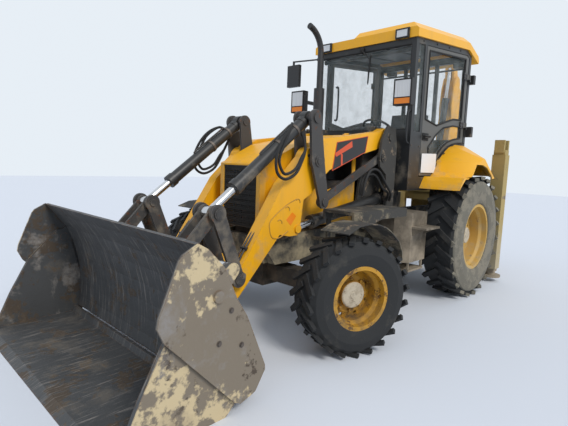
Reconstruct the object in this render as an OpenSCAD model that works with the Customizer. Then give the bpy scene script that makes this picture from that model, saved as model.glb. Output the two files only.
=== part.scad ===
// Backhoe loader, folded for travel, with the loader bucket flat on the ground.
// Frame: +X forward, +Y to the left side, +Z up, ground at Z 0, all sizes in mm.
// Places along X are counted from the rear axle and shifted by rear_axle_x.

/* [Main sizes] */
// X of the rear axle in the row frame
rear_axle_x = -1134.2; // [-1400:1:-900]
// distance between the axles
wheelbase = 2308; // [2100:1:2600]
// outer width of the loader bucket
bucket_width = 2292; // [1900:2:2400]

/* [Wheels] */
// front tyre outer radius, over the lugs
front_tyre_r = 461; // [400:1:560]
// front tyre width
front_tyre_w = 326; // [250:2:400]
// middle plane of the front wheel when it is not steered, from the centre
front_wheel_y = 1060; // [900:5:1150]
// kingpin line, from the centre
kingpin_y = 888; // [800:1:950]
// steering of the front wheels to the right in the stored pose, degrees
steer_rest = 19.4; // [0:0.1:30]
// rear tyre outer radius, over the lugs
rear_tyre_r = 698; // [600:1:800]
// rear tyre width
rear_tyre_w = 400; // [350:2:480]
// middle plane of the rear wheel, from the centre
rear_wheel_y = 960; // [800:5:1050]
// front rim flange radius
front_rim_r = 250; // [200:1:280]
// rear rim flange radius
rear_rim_r = 378; // [330:1:420]

/* [Cab] */
// front face of the cab, from the rear axle
cab_front_x = 850; // [700:5:1000]
// rear face of the cab, from the rear axle
cab_rear_x = -620; // [-800:5:-500]
// half width of the cab
cab_half_w = 665; // [600:5:750]
// cab floor height
cab_floor_z = 1215; // [1000:5:1300]
// underside of the roof
roof_low_z = 2850; // [2600:5:3000]
// height of the raised part of the roof over the front edge
roof_rise = 164; // [110:2:220]

/* [Hood] */
// front of the grille, from the rear axle
hood_front_x = 2614; // [2400:2:2800]
// half width of the hood at the back
hood_half_w = 345; // [280:5:400]
// half width of the hood at the nose
nose_half_w = 295; // [200:5:350]

/* [Loader] */
// outer face of the loader arm, from the centre
arm_out_y = 500; // [440:2:560]
// thickness of the loader arm
arm_t = 110; // [80:2:160]
// pin radius of the loader linkage
pin_r = 28; // [20:1:40]
// dump cylinder barrel radius
dump_r = 52; // [40:1:70]
// lift cylinder barrel radius
lift_r = 55; // [40:1:70]

/* [Backhoe] */
// swing axis of the kingpost, from the rear axle
swing_x = -1250; // [-1500:5:-1200]
// width of the backhoe bucket
hoe_bucket_w = 500; // [300:10:700]
// centre of a stabiliser column, from the centre
stab_y = 1029; // [900:2:1150]
// centre of a stabiliser column, from the rear axle
stab_x = -930; // [-1100:5:-800]

/* [Hidden] */
$fn = 40;
fx = wheelbase;
bw = bucket_width / 2;
fit = 0.3;
jaw_cyl_y = bw - 120;
tow_x = 2665;
arm_in_y = arm_out_y - arm_t;
arm_mid_y = arm_out_y - arm_t / 2;

// pivots of the loader, [x, z] from the rear axle
pA = [1080, 1765];
pB = [1195, 1555];
pC = [2235, 1484];
pD = [2130, 1130];
pT = [2285, 1844];
pL = [3085, 590];
// crank and bucket ear are the equal sides of a parallelogram
crank_v = [203, 497];
pP = pL + [207, -219];
pK = pL + crank_v;
pU = pP + crank_v;
pLiftBase = [1015, 1130];
pLiftRod = [2405, 905];
pJaw = pP + [438, 364];
pJawBase = pP + [128, -171];
pJawRod = pP + [318, 481];
// the bucket's outlines are drawn for a pivot at [3292, 371] and moved with it
tip = pP - [3292, 371];

pHood = [1362, 1784];

// the roof rises to the rear from its front edge, and droops behind droop_x
roof_tilt = 5.9;
eave_x = cab_front_x + 20;
eave_z = roof_low_z - 35;
droop_x = cab_rear_x + 140;
function roof_line(x) = eave_z + (eave_x - x) * tan(roof_tilt);
function droop_line(x) = roof_line(droop_x) - (droop_x - x) * 0.342;

// upper face of the front mudguard, [x, z], and its sheet thickness at each point
guard_pts = [[1705, 650], [1730, 742], [1784, 826], [1936, 930], [2010, 966], [2125, 1000],
    [2260, 1016], [2407, 1006], [2545, 958]];
guard_in = [[-8, 2], [-8, 3], [-6, 6], [-4, 7], [-3, 8], [-2, 8], [0, 8], [2, 8], [3, 8]];
// wheel disc inside the front rim, and the face it seats on at the knuckle
front_disc_y = -44;
hub_seat = front_wheel_y - kingpin_y + front_disc_y + 6;

// pivots of the backhoe
pBoom = [-1450, 560];
pTip = [-1600, 2790];
pDip = [-1860, 1400];
pTail = [-1538, 3083];
pBoomBase = [-1385, 800];
pBoomRod = [-1400, 1560];
pDipBase = [-1300, 1690];
dip_d = (pDip - pTip) / norm(pDip - pTip);
dip_n = [dip_d[1], -dip_d[0]];
pRock = pDip - 280 * dip_d;
rock_v = 240 * [cos(224), sin(224)];
pJoin = pRock + rock_v;
pEar = pDip + rock_v;
pCurlBase = pTip + 210 * dip_d + 165 * dip_n;

yellow = [0.93, 0.66, 0.10];
dark = [0.13, 0.14, 0.15];
steel = [0.33, 0.34, 0.35];
dirt = [0.45, 0.42, 0.36];
chrome = [0.85, 0.86, 0.88];

// shared helpers

// everything is drawn from the rear axle and shifted here
module at() { translate([rear_axle_x, 0, 0]) children(); }

module both() { children(); mirror([0, 1, 0]) children(); }

// a flat outline in X and Z, from y0 to y1
module plate(y0, y1) {
    translate([0, y1, 0]) rotate([90, 0, 0]) linear_extrude(y1 - y0) children();
}

// a shaft along Y at p
module shaft(p, r, y0, y1) {
    translate([p[0], y1, p[1]]) rotate([90, 0, 0]) cylinder(h = y1 - y0, r = r);
}

module disc_at(p, r) { translate(p) circle(r = r); }

// a flat bar outline from p to q, half widths a at p and b at q
module strip(p, q, a, b) {
    d = (q - p) / norm(q - p);
    n = [-d[1], d[0]];
    polygon([p + a * n, q + b * n, q - b * n, p - a * n]);
}

// a flat link outline with an eye at each end and holes for the pins
module link2(p, q, eye_p, eye_q, a, b, hole) {
    difference() {
        union() {
            disc_at(p, eye_p);
            disc_at(q, eye_q);
            strip(p, q, a, b);
        }
        if (hole > 0) {
            disc_at(p, hole);
            disc_at(q, hole);
        }
    }
}

// a round bar in the X Z plane at y, from s0 to s1 along the line p to q
module round_bar(p, q, y, r, s0, s1) {
    d = (q - p) / norm(q - p);
    translate([p[0] + d[0] * s0, y, p[1] + d[1] * s0])
        rotate([0, atan2(d[0], d[1]), 0]) cylinder(h = s1 - s0, r = r);
}

// a cylinder barrel: rear eye at p, tube to s1, thicker head and rear cap
module barrel(p, q, y, r, s1, eye_r, eye_w, pin = 25) {
    difference() {
        union() {
            round_bar(p, q, y, r, 60, s1);
            round_bar(p, q, y, r + 7, s1 - 60, s1);
            round_bar(p, q, y, r + 5, 60, 95);
            shaft(p, eye_r, y - eye_w / 2, y + eye_w / 2);
            plate(y - min(eye_w / 2, r * 0.7), y + min(eye_w / 2, r * 0.7))
                strip(p, p + 75 * (q - p) / norm(q - p), eye_r * 0.8, r * 0.8);
        }
        round_bar(p, q, y, r * 0.62 + fit, 120, s1 + 5);
        shaft(p, pin + fit, y - eye_w, y + eye_w);
    }
}

// the rod of the same cylinder, with its eye at q
module rod(p, q, y, r, s0, eye_r, eye_w) {
    len = norm(q - p);
    round_bar(p, q, y, r * 0.62, s0, len - eye_r + 8);
    shaft(q, eye_r, y - eye_w / 2, y + eye_w / 2);
}

// front tyre and rim are drawn round the Y axis at the origin, outer side +Y

module tyre(r, w, rim_r, rim_h, lugs, lug_h, lug_w) {
    rc = r - lug_h;
    rotate([-90, 0, 0]) rotate_extrude($fn = 56) polygon([
        [rim_r - 20.7, -rim_h + 16.6], [rim_r + fit, -rim_h + 10.6], [rim_r + fit, -rim_h - 1],
        [rim_r + 14, -w * 0.455], [rim_r + 45, -w * 0.475],
        [(rim_r + rc) / 2, -w * 0.5], [rc - 38, -w * 0.455], [rc - 4, -w * 0.36],
        [rc, 0],
        [rc - 4, w * 0.36], [rc - 38, w * 0.455], [(rim_r + rc) / 2, w * 0.5],
        [rim_r + 45, w * 0.475], [rim_r + 14, w * 0.455],
        [rim_r + fit, rim_h + 1], [rim_r + fit, rim_h - 10.6], [rim_r - 20.7, rim_h - 16.6]
    ]);
    // the outer corners of a lug reach the tyre's radius
    half = w * 0.3 * cos(52) + lug_w * 0.5 * sin(52);
    top = sqrt(r * r - half * half);
    for (i = [0 : lugs - 1], s = [-1, 1]) {
        a = 360 / lugs * (i + (s > 0 ? 0.5 : 0));
        rotate([0, a, 0]) translate([0, s * w * 0.235, top - lug_h / 2 - 2])
            rotate([0, 0, s * 52]) cube([w * 0.60, lug_w, lug_h + 4], center = true);
    }
}

// wheel rim: flange radius r, half width h, disc face at disc_y, hub radius
module rim(r, h, disc_y, hub_r, hub_y, bolt_n, bolt_pcr) {
    difference() {
        rotate([-90, 0, 0]) rotate_extrude($fn = 56) polygon([
            [r - 30, -h], [r, -h], [r, -h + 10], [r - 21, -h + 16], [r - 24, -h + 60],
            [r - 44, -h + 90], [r - 44, h - 90], [r - 24, h - 60], [r - 21, h - 16],
            [r, h - 10], [r, h], [r - 30, h], [r - 33, h - 58], [r - 54, h - 88],
            [r - 54, disc_y + 14], [hub_r + 30, disc_y + 34], [hub_r + 30, disc_y + 18],
            [r - 56, disc_y - 2], [r - 54, -h + 88], [r - 33, -h + 58]
        ]);
        for (i = [0 : 7]) rotate([0, i * 45 + 22.5, 0])
            translate([0, disc_y + 50, (r + hub_r) * 0.5]) rotate([90, 0, 0])
            cylinder(h = 100, r = 17, $fn = 20);
    }
    // hub end with its flange
    rotate([-90, 0, 0]) {
        translate([0, 0, disc_y + 6]) cylinder(h = 30, r = hub_r + 42, $fn = 48);
        translate([0, 0, disc_y + 20]) cylinder(h = hub_y - disc_y - 20, r = hub_r, $fn = 40);
    }
    for (i = [0 : bolt_n - 1]) rotate([0, i * 360 / bolt_n, 0])
        translate([0, disc_y + 30, bolt_pcr]) rotate([-90, 0, 0])
        cylinder(h = 24, r = 13, $fn = 18);
}

// a front wheel in its steered place; side is 1 for the left, -1 for the right
module front_place(side) {
    translate([fx, side * kingpin_y, front_tyre_r]) rotate([0, 0, -steer_rest])
        translate([0, side * (front_wheel_y - kingpin_y), 0])
        mirror([0, side < 0 ? 1 : 0, 0]) children();
}

module rear_place(side) {
    translate([0, side * rear_wheel_y, rear_tyre_r])
        mirror([0, side < 0 ? 1 : 0, 0]) children();
}

// frame

module chassis() color(dirt) at() {
    both() {
        // main side member, arched over the rear axle, with the nose plate over the front axle
        plate(310, 400) polygon([
            [-1010, 540], [-1010, 1100], [-700, 1100], [-600, 980], [760, 980], [900, 880],
            [1700, 870], [2280, 850], [2600, 800], [2640, 700], [2560, 595], [2080, 595],
            [1750, 560], [1000, 470], [330, 470], [230, rear_tyre_r - 58], [130, rear_tyre_r + 122],
            [-130, rear_tyre_r + 122], [-250, rear_tyre_r - 58], [-400, 540]
        ]);
        // tower that carries the arm pivot, inner and outer plate
        plate(355, 381) polygon([
            [960, 800], [930, 1700], [985, 1870], [1150, 1880], [1260, 1760],
            [1300, 1500], [1400, 860]
        ]);
        plate(534, 560) polygon([
            [900, 780], [900, 1010], [940, 1010], [930, 1700], [985, 1870], [1130, 1880],
            [1230, 1720], [1262, 1560], [1240, 1460], [1120, 1380], [1080, 1010], [1080, 780]
        ]);
        // shelves that join the outer tower plate to the frame
        translate([880, 381, 1010]) cube([60, 154, 30]);
        translate([890, 381, 1395]) cube([50, 154, 300]);
        translate([900, 400, 780]) cube([180, 135, 20]);
        // arm pivot pin, lift cylinder pin and levelling link pin with their spacers
        shaft(pA, 34, 370, 575);
        shaft(pA, 58, 381, arm_in_y - fit);
        shaft(pA, 58, arm_out_y + fit, 534);
        shaft(pLiftBase, 25, 370, 572);
        shaft(pLiftBase, 40, 381, 410 - fit);
        shaft(pLiftBase, 40, 480 + fit, 534);
        shaft(pB, pin_r, 507, 578);
        shaft(pB, 44, 528 + fit, 534);
        shaft(pB, 44, 560, 572);
        // platform over the front wheel, carried from below the lift cylinder
        translate([1240, 560, 1045]) cube([900, 330, 25]);
        translate([1240, 560, 985]) cube([900, 20, 60]);
        for (x = [1260, 2040]) {
            translate([x, 400, 770]) cube([50, 180, 25]);
            translate([x, 560, 770]) cube([50, 20, 230]);
        }
        // outer skirt of the platform, shaped to the mudguard, and the mudguard sheet
        plate(870, 890) polygon([
            [1240, 985], [1240, 1070], [2140, 1070], [2140, guard_pts[5][1] - 5], guard_pts[5] + [-4, -4],
            guard_pts[4] + [2, -4], guard_pts[3] + [2, -3], guard_pts[3] + [-60, 10], [1700, 985]
        ]);
        plate(866, 1130) polygon(concat(guard_pts,
            [for (i = [len(guard_pts) - 1 : -1 : 0]) guard_pts[i] - guard_in[i]]));
        // slide posts and stabiliser columns
        difference() {
            translate([stab_x - 80, stab_y - 80, 174]) cube([160, 160, 1500]);
            translate([stab_x - 62, stab_y - 62, 100]) cube([124, 124, 1560]);
        }
        translate([stab_x - 70, stab_y - 70, 1674]) cube([140, 140, 60]);
        difference() {
            translate([stab_x - 95, stab_y - 60, 1700]) cube([190, 120, 163]);
            translate([stab_x - 55, stab_y - 70, 1740]) cube([110, 140, 130]);
        }
        // saddle over the steering linkage, hangers of the front axle pin
        for (x = [fx - 225, fx + 195]) translate([x, 0, 0]) difference() {
            translate([0, -5, 490]) cube([30, 110, 150]);
            translate([-5, 0, 530]) rotate([0, 90, 0]) cylinder(h = 50, r = 40 + fit);
        }
    }
    // cross members
    for (x = [-960, -400, 600, 1500]) translate([x, -320, 600]) cube([90, 640, 110]);
    translate([1960, -320, 600]) cube([560, 640, 45]);
    translate([2560, -320, 600]) cube([60, 640, 215]);
    // front tow lug
    difference() {
        translate([2610, -60, 625]) cube([100, 120, 30]);
        translate([tow_x, 0, 600]) cylinder(h = 80, r = 22);
    }
    // gearbox and drive shaft housing
    translate([520, -190, 430]) cube([560, 380, 420]);
    translate([190, -150, rear_tyre_r - 138]) cube([340, 300, 260]);
    translate([560, -320, 480]) cube([60, 640, 90]);
    // rear frame with its two slide rails
    translate([-1010, -stab_y + 80, 470]) cube([60, 2 * stab_y - 160, 130]);
    translate([-1010, -stab_y + 80, 1000]) cube([60, 2 * stab_y - 160, 120]);
}

module engine() color(dark) at() {
    // plain block on the cross member, radiator behind the grille
    translate([1120, -255, 710]) cube([1180, 510, 590]);
    translate([1120, -310, 780]) cube([1180, 620, 60]);
    translate([2380, -240, 645]) cube([90, 480, 725]);
}

module front_axle() color(dirt) at() {
    // beam on its centre pin, with the yokes at its ends
    translate([fx - 80, -740, front_tyre_r - 75]) cube([160, 1480, 150]);
    translate([fx - 130, -130, front_tyre_r - 130]) cube([260, 260, 255]);
    translate([fx - 230, 0, 530]) rotate([0, 90, 0]) cylinder(h = 460, r = 40);
    both() for (z = [-110, 80 + fit]) {
        translate([fx, kingpin_y, front_tyre_r + z]) cylinder(h = 30 - fit, r = 60);
        translate([fx - 50, 730, front_tyre_r + z]) cube([100, kingpin_y - 730, 30 - fit]);
    }
    both() translate([fx - 50, 720, front_tyre_r - 110]) cube([100, 40, 220]);
    // steering cylinder on the beam
    translate([fx - 140, 0, front_tyre_r + 20]) rotate([90, 0, 0])
        cylinder(h = 560, r = 38, center = true);
    translate([fx - 150, -100, front_tyre_r - 20]) cube([80, 200, 70]);
}

module knuckle(side) {
    translate([fx, side * kingpin_y, front_tyre_r]) rotate([0, 0, -steer_rest])
        mirror([0, side < 0 ? 1 : 0, 0]) {
            cylinder(h = 160, r = 50, center = true);
            translate([0, hub_seat, 0]) rotate([90, 0, 0]) cylinder(h = hub_seat, r = 70);
            translate([0, hub_seat - fit, 0]) rotate([90, 0, 0]) cylinder(h = 40, r = 104);
            translate([-165, -30, 20]) cube([150, 50, 30]);
        }
}

module knuckle_left() color(dirt) at() knuckle(1);
module knuckle_right() color(dirt) at() knuckle(-1);

module rear_axle() color(dirt) at() {
    both() translate([0, 800, rear_tyre_r]) rotate([90, 0, 0]) cylinder(h = 800, r = 95);
    translate([-190, -220, rear_tyre_r - 190]) cube([380, 440, 380]);
    both() translate([-110, 312, rear_tyre_r + 40]) cube([220, 86, 82]);
    both() translate([0, 800, rear_tyre_r]) rotate([90, 0, 0]) cylinder(h = 80, r = 150);
    both() translate([0, rear_wheel_y - 34 - fit, rear_tyre_r]) rotate([90, 0, 0])
        cylinder(h = rear_wheel_y - 34 - fit - 790, r = 126);
}

module front_rim() rim(front_rim_r, 143, front_disc_y, 106, 32, 8, 129);
module rear_rim() rim(rear_rim_r, 167, -40, 95, 52, 10, 122);
module front_tyre() tyre(front_tyre_r, front_tyre_w, front_rim_r, 143, 22, 22, 40);
module rear_tyre() tyre(rear_tyre_r, rear_tyre_w, rear_rim_r, 167, 23, 32, 52);

module rim_front_left() color(yellow) at() front_place(1) front_rim();
module rim_front_right() color(yellow) at() front_place(-1) front_rim();
module rim_rear_left() color(yellow) at() rear_place(1) rear_rim();
module rim_rear_right() color(yellow) at() rear_place(-1) rear_rim();
module tyre_front_left() color(dark) at() front_place(1) front_tyre();
module tyre_front_right() color(dark) at() front_place(-1) front_tyre();
module tyre_rear_left() color(dark) at() rear_place(1) rear_tyre();
module tyre_rear_right() color(dark) at() rear_place(-1) rear_tyre();

// body

// side outline of the hood, outer surface moved in by t
module hood_outline(t) {
    polygon([
        [1370, 880 - t], [1370, 1778 - t], [1480 , 1762 - t], [1900, 1694 - t],
        [2230, 1628 - t], [2440 - t, 1530 - t], [2560 - t, 1462 - t],
        [hood_front_x + 26 - t, 1440 - t], [hood_front_x + 26 - t, 1200], [hood_front_x + 26 - t, 880 - t]
    ]);
}

// plan outline of the hood
module hood_plan(t) {
    polygon([
        [1300, -hood_half_w + t], [1900, -hood_half_w + 8 + t], [2600 - t, -nose_half_w + t],
        [2660 - t, -nose_half_w + 40 + t], [2660 - t, nose_half_w - 40 - t],
        [2600 - t, nose_half_w - t], [1900, hood_half_w - 8 - t], [1300, hood_half_w - t]
    ]);
}

module hood() color(yellow) at() {
    difference() {
        intersection() {
            plate(-400, 400) hood_outline(0);
            translate([0, 0, 800]) linear_extrude(1100) hood_plan(0);
        }
        intersection() {
            plate(-400, 400) hood_outline(12);
            translate([0, 0, 700]) linear_extrude(1200) hood_plan(12);
        }
        // open rear end
        translate([1300, -320, 700]) cube([90, 640, 1060]);
        // grille window
        translate([2500, -222, 870]) cube([300, 444, 556]);
        // notches for the hinge lugs
        both() translate([1365, 146, 1750]) cube([27, 128, 40]);
        // side windows
        for (s = [-1, 1]) plate(s > 0 ? 280 : -420, s > 0 ? 420 : -280) polygon([
            [1420, 1290], [1420, 1560], [1700, 1500], [2010, 1395], [2040, 1290], [1900, 1200]
        ]);
    }
    // hinge knuckles
    both() {
        shaft(pHood, 12, 180, 240);
        plate(190, 230) polygon([[1358, 1786], [1366, 1794], [1420, 1776], [1400, 1766]]);
    }
}

module grille() color(dark) at() {
    difference() {
        translate([2612, -244, 882]) cube([16, 488, 542]);
        for (i = [0 : 9]) translate([2600, -205, 905 + i * 50]) cube([40, 410, 24]);
    }
    for (y = [-100, 0, 100]) translate([2604, y - 8, 884]) cube([9, 16, 536]);
}

// lower cab body, floor, posts and fixed panels
module cab_frame() color(dark) at() {
    w = cab_half_w;
    xf = cab_front_x;
    xr = cab_rear_x;
    translate([xr + 20, -w + 25, cab_floor_z]) cube([xf - xr - 40, 2 * w - 50, 40]);
    // front wall below the windscreen, with the cowl behind the hood
    translate([xf - 30, -w, cab_floor_z]) cube([30, 2 * w, 650]);
    translate([xf, -hood_half_w + 8, 1650]) cube([500, 2 * hood_half_w - 16, 120]);
    // rear wall below the rear window, bars between its panes
    translate([xr, -w, cab_floor_z]) cube([30, 2 * w, 620]);
    both() {
        translate([xr + 20.3, 205, 1830]) cube([28, 50, 1040]);
        // front corner post and the broad quarter panel beside the door
        plate(w - 50, w) polygon([
            [xf - 60, cab_floor_z], [xf, cab_floor_z],
            [xf, roof_line(xf) - fit], [xf - 60, roof_line(xf - 60) - fit]
        ]);
        translate([605, w - 30, cab_floor_z]) cube([245, 30, 640]);
        plate(w - 50, w) polygon([
            [605, cab_floor_z], [650, cab_floor_z], [650, roof_line(650) - 30], [605, roof_line(605) - 30]
        ]);
        // rear post, top rail, wheel house wall under the door
        plate(w - 60, w) polygon([
            [xr, cab_floor_z], [xr + 60, cab_floor_z],
            [xr + 60, droop_line(xr + 60) - fit], [xr, droop_line(xr) - fit]
        ]);
        plate(w - 50, w) polygon([
            [xf, roof_line(xf) - 60], [xf, roof_line(xf) - fit], [droop_x, roof_line(droop_x) - fit],
            [xr, droop_line(xr) - fit], [xr, droop_line(xr) - 60], [droop_x, roof_line(droop_x) - 60]
        ]);
        plate(w - 30, w) polygon(concat(
            [[605, 1215], [605, 1366], [340, 1366], [318, 1255]],
            [for (p = arc_pts) if (p[1] > 1300) p + [14, 20]], [[-600, 1790], [-600, 1215]]));
        // hinge lugs of the door and of the hood
        for (z = [2000, 2600]) difference() {
            translate([-572, w - 8, z - 22]) cube([30, 42, 22 - fit]);
            translate([-552, w + 18, z - 30]) cylinder(h = 40, r = 7);
        }
        for (y = [150, 240 + fit]) plate(y, y + 30 - fit) polygon([
            [1320, 1765], [1340, 1765], [1364, 1772], [1372, 1780], [1372, 1788], [1364, 1795], [1352, 1794]
        ]);
        // mounts to the frame
        translate([-560, 320, 980]) cube([120, 120, cab_floor_z - 980]);
        translate([620, 320, 980]) cube([120, 120, cab_floor_z - 980]);
    }
    plate(-w, w) polygon([
        [xf - 50, roof_line(xf) - 60], [xf, roof_line(xf) - 60], [xf, roof_line(xf) - fit],
        [xf - 50, roof_line(xf - 50) - fit]
    ]);
    plate(-w, w) polygon([
        [xr, droop_line(xr) - 66], [xr + 50, droop_line(xr) - 66], [xr + 50, droop_line(xr + 50) - fit],
        [xr, droop_line(xr) - fit]
    ]);
}

module roof() color(yellow) at() difference() {
    union() {
        // main shell, rising to the rear, with the raised part on the left
        intersection() {
            plate(-700, 700) polygon([
                [eave_x, 2750], [eave_x, eave_z + 106], [eave_x - 72, eave_z + 186], [700, 3250],
                [droop_x, 3250], [droop_x, 2750]
            ]);
            translate([eave_x, 0, eave_z]) rotate([0, roof_tilt, 0]) translate([-1450, 0, 0])
                rotate([90, 0, 90]) linear_extrude(1500) polygon([
                [-690, 0], [-690, 82], [-650, 102], [-110, 102],
                [-84, roof_rise], [596, roof_rise], [690, 84], [690, 0]
            ]);
        }
        // drooped rear end
        plate(-690, 690) polygon([
            [-800, droop_line(-800)], [droop_x, roof_line(droop_x)], [droop_x + 1, roof_line(droop_x)],
            [droop_x + 1, roof_line(droop_x) + 84], [-780, 2932], [-808, 2876]
        ]);
        plate(-84, 596) polygon([
            [droop_x + 1, roof_line(droop_x) + 60], [droop_x + 1, roof_line(droop_x) + 162],
            [-640, 3056], [-768, 2930]
        ]);
    }
    // room over the driver's head
    plate(-605, 605) polygon([
        [800, 2700], [800, roof_line(800) + 45], [-470, roof_line(-470) + 45], [-560, 2960], [-560, 2700]
    ]);
}

module cab_glass() color([0.2, 0.3, 0.35, 0.5]) at() {
    translate([cab_front_x - 20, -cab_half_w + 50, 1865])
        cube([6, 2 * cab_half_w - 100, roof_line(cab_front_x) - 60 - fit - 1865]);
    translate([cab_rear_x + 14, -cab_half_w + 60, 1835])
        cube([6, 2 * cab_half_w - 120, droop_line(cab_rear_x) - 66 - fit - 1835]);
    both() plate(cab_half_w - 16, cab_half_w - 10) polygon([
        [650, 1855], [790, 1855], [790, roof_line(790) - 60 - fit], [650, roof_line(650) - 60 - fit]
    ]);
}

// seat, console, steering column and pedestal
module interior() color(dark) at() {
    translate([-260, -230, 1255]) cube([360, 460, 260]);
    translate([-300, -250, 1515]) cube([460, 500, 110]);
    translate([-330, -240, 1605]) rotate([0, -8, 0]) cube([110, 480, 560]);
    translate([560, -190, 1255]) cube([200, 380, 620]);
    translate([520, 0, 1820]) rotate([0, -35, 0]) cylinder(h = 260, r = 30, center = true);
    translate([440, 0, 1930]) rotate([0, -30, 0]) {
        rotate_extrude($fn = 40) translate([180, 0]) circle(r = 14, $fn = 16);
        cylinder(h = 24, r = 45, center = true);
        for (a = [0, 120, 240]) rotate([0, 0, a]) translate([30, -12, -6]) cube([150, 24, 12]);
    }
    translate([-560, -420, 1255]) cube([180, 840, 520]);
}

// arc that the door and the inner edge of the fender share, [x, z]
arc_pts = [
    [300, 1237], [236, 1402], [153, 1530], [30, 1625], [-100, 1697], [-242, 1737],
    [-391, 1762], [-560, 1770]
];

module door_outline(t) {
    polygon(concat(
        [[598 - t, 1380 + t], [598 - t, roof_line(598) - 67 - t], [droop_x + 10, roof_line(droop_x) - 68 - t],
         [-540 + t, droop_line(-540) - 67 - t], [-540 + t, 1806 + t]],
        [for (i = [6 : -1 : 1]) arc_pts[i] + [28 + t * 0.7, 38 + t * 0.7]],
        [[306 + t, 1380 + t]]));
}

upper_pane = [[545, 2005], [545, 2738], [-440, 2838], [-440, 2090], [-200, 2075], [60, 2010], [250, 1960]];
lower_pane = [[430, 1700], [250, 1850], [60, 1950], [-200, 1995], [-440, 2000], [-440, 1860],
    [-240, 1830], [-80, 1790], [60, 1720], [190, 1620], [300, 1450], [380, 1450]];

module door() {
    w = cab_half_w;
    difference() {
        plate(w - 34, w) door_outline(0);
        // upper glass, then lower glass along the arc
        plate(w - 60, w + 30) polygon(upper_pane);
        plate(w - 60, w + 30) polygon(lower_pane);
    }
    // handle and hinges
    translate([470, w, 1800]) cube([90, 30, 30]);
    for (z = [2000, 2600]) difference() {
        union() {
            translate([-552, w, z]) cube([70, 18, 60]);
            translate([-552, w + 18, z]) cylinder(h = 60, r = 14);
        }
        translate([-552, w + 18, z - 5]) cylinder(h = 30, r = 7);
    }
}

module door_glass() {
    w = cab_half_w;
    plate(w - 20, w - 14) polygon(upper_pane);
    plate(w - 20, w - 14) polygon(lower_pane);
}

module door_left() color(steel) at() door();
module door_right() color(steel) at() mirror([0, 1, 0]) door();
module door_glass_left() color([0.5, 0.6, 0.6, 0.4]) at() door_glass();
module door_glass_right() color([0.5, 0.6, 0.6, 0.4]) at() mirror([0, 1, 0]) door_glass();

module rear_fenders() color(yellow) at() both() difference() {
    intersection() {
        plate(cab_half_w, 1120) fender_side(0);
        below_door(0);
        fender_slopes(0);
    }
    intersection() {
        plate(cab_half_w - 5, 1104) fender_side(16);
        below_door(16);
        fender_slopes(16);
    }
    // arch over the tyre in the outer lip
    plate(1090, 1130) polygon([
        [600, 1200], [560, 1238], [510, 1285], [439, 1340], [320, 1435], [191, 1500], [60, 1524], [-60, 1524],
        [-203, 1495], [-330, 1425], [-384, 1384], [-450, 1290], [-500, 1200]
    ]);
    // clearance over the tyre
    translate([0, 1120, rear_tyre_r]) rotate([90, 0, 0]) cylinder(h = 380, r = rear_tyre_r + 14, $fn = 72);
}

module tanks() color(dirt) at() {
    // side tank on the left, battery and tool box on the right, each with its steps
    both() {
        difference() {
            translate([700, 560, 480]) cube([520, 290, 520]);
            translate([1150, 700, 400]) rotate([0, 0, 35]) cube([400, 400, 800]);
        }
        translate([720, 620, 380]) cube([330, 230, 20]);
        for (x = [730, 1020]) translate([x, 820, 380]) cube([20, 20, 110]);
        translate([725, 850, 838]) cube([310, 160, 22]);
        for (x = [740, 1000]) translate([x, 0, 0]) rotate([90, 0, 90]) linear_extrude(14)
            polygon([[850, 760], [850, 839], [980, 839]]);
    }
}

module exhaust() color(dark) at() translate([1225, -310, 0]) {
    translate([0, 0, 1770]) cylinder(h = 942, r = 34);
    translate([0, 0, 1900]) cylinder(h = 420, r = 60);
    // elbow that turns the open end forward
    translate([258, 0, 2704]) rotate([90, 0, 0]) rotate([0, 0, 100]) rotate_extrude(angle = 80)
        translate([258, 0]) circle(r = 33);
}

module lamps() color(dark) at() {
    w = cab_half_w;
    // head lamps on brackets from the front posts
    both() {
        translate([1075, 606, 2080]) cube([80, 200, 260]);
        translate([cab_front_x, 620, 2190]) cube([230, 30, 40]);
    }
    // work lamps in the roof's front edge and under its rear edge
    both() translate([eave_x, 430, eave_z]) cube([22, 160, 102]);
    both() translate([cab_rear_x - 72, 430, 2790]) cube([72, 130, 76]);
    // mirror on the right, on its arm
    translate([930, -1070, 2440]) cube([40, 200, 270]);
    translate([cab_front_x, -w + 6, 2742]) cube([26, 26, 30]);
    translate([cab_front_x + 12, -w + 14, 2749]) rotate([0, 0, -77]) cube([356, 14, 16]);
    translate([936, -998, 2695]) cube([16, 24, 62]);
    // rear lamps behind the doors
    both() translate([cab_rear_x - 60, w - 20, 1890]) cube([60, 90, 130]);
    both() translate([cab_rear_x - 60, w - 20, 2560]) cube([60, 70, 110]);
}

// loader

module arm_outline() {
    polygon([
        [990, 1765], [1010, 1840], [1080, 1862], [1155, 1827], [1713, 1741], [2080, 1690],
        [2200, 1640], [2345, 1523], [2590, 1298], pL + [-123, 151], pL + [35, -30], pP + [68, 81],
        pP + [83, 0], pP + [53, -61], pP + [0, -86], pP + [-112, -41], pL + [-50, -153], [2617, 872],
        [2500, 848], [2400, 850], [2370, 905], [2364, 971], [2340, 1152], [2249, 1198],
        [2120, 1320], [2001, 1411], [1770, 1490], [1528, 1566], [1147, 1657], [1020, 1690]
    ]);
    disc_at(pC, 120);
}

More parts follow.
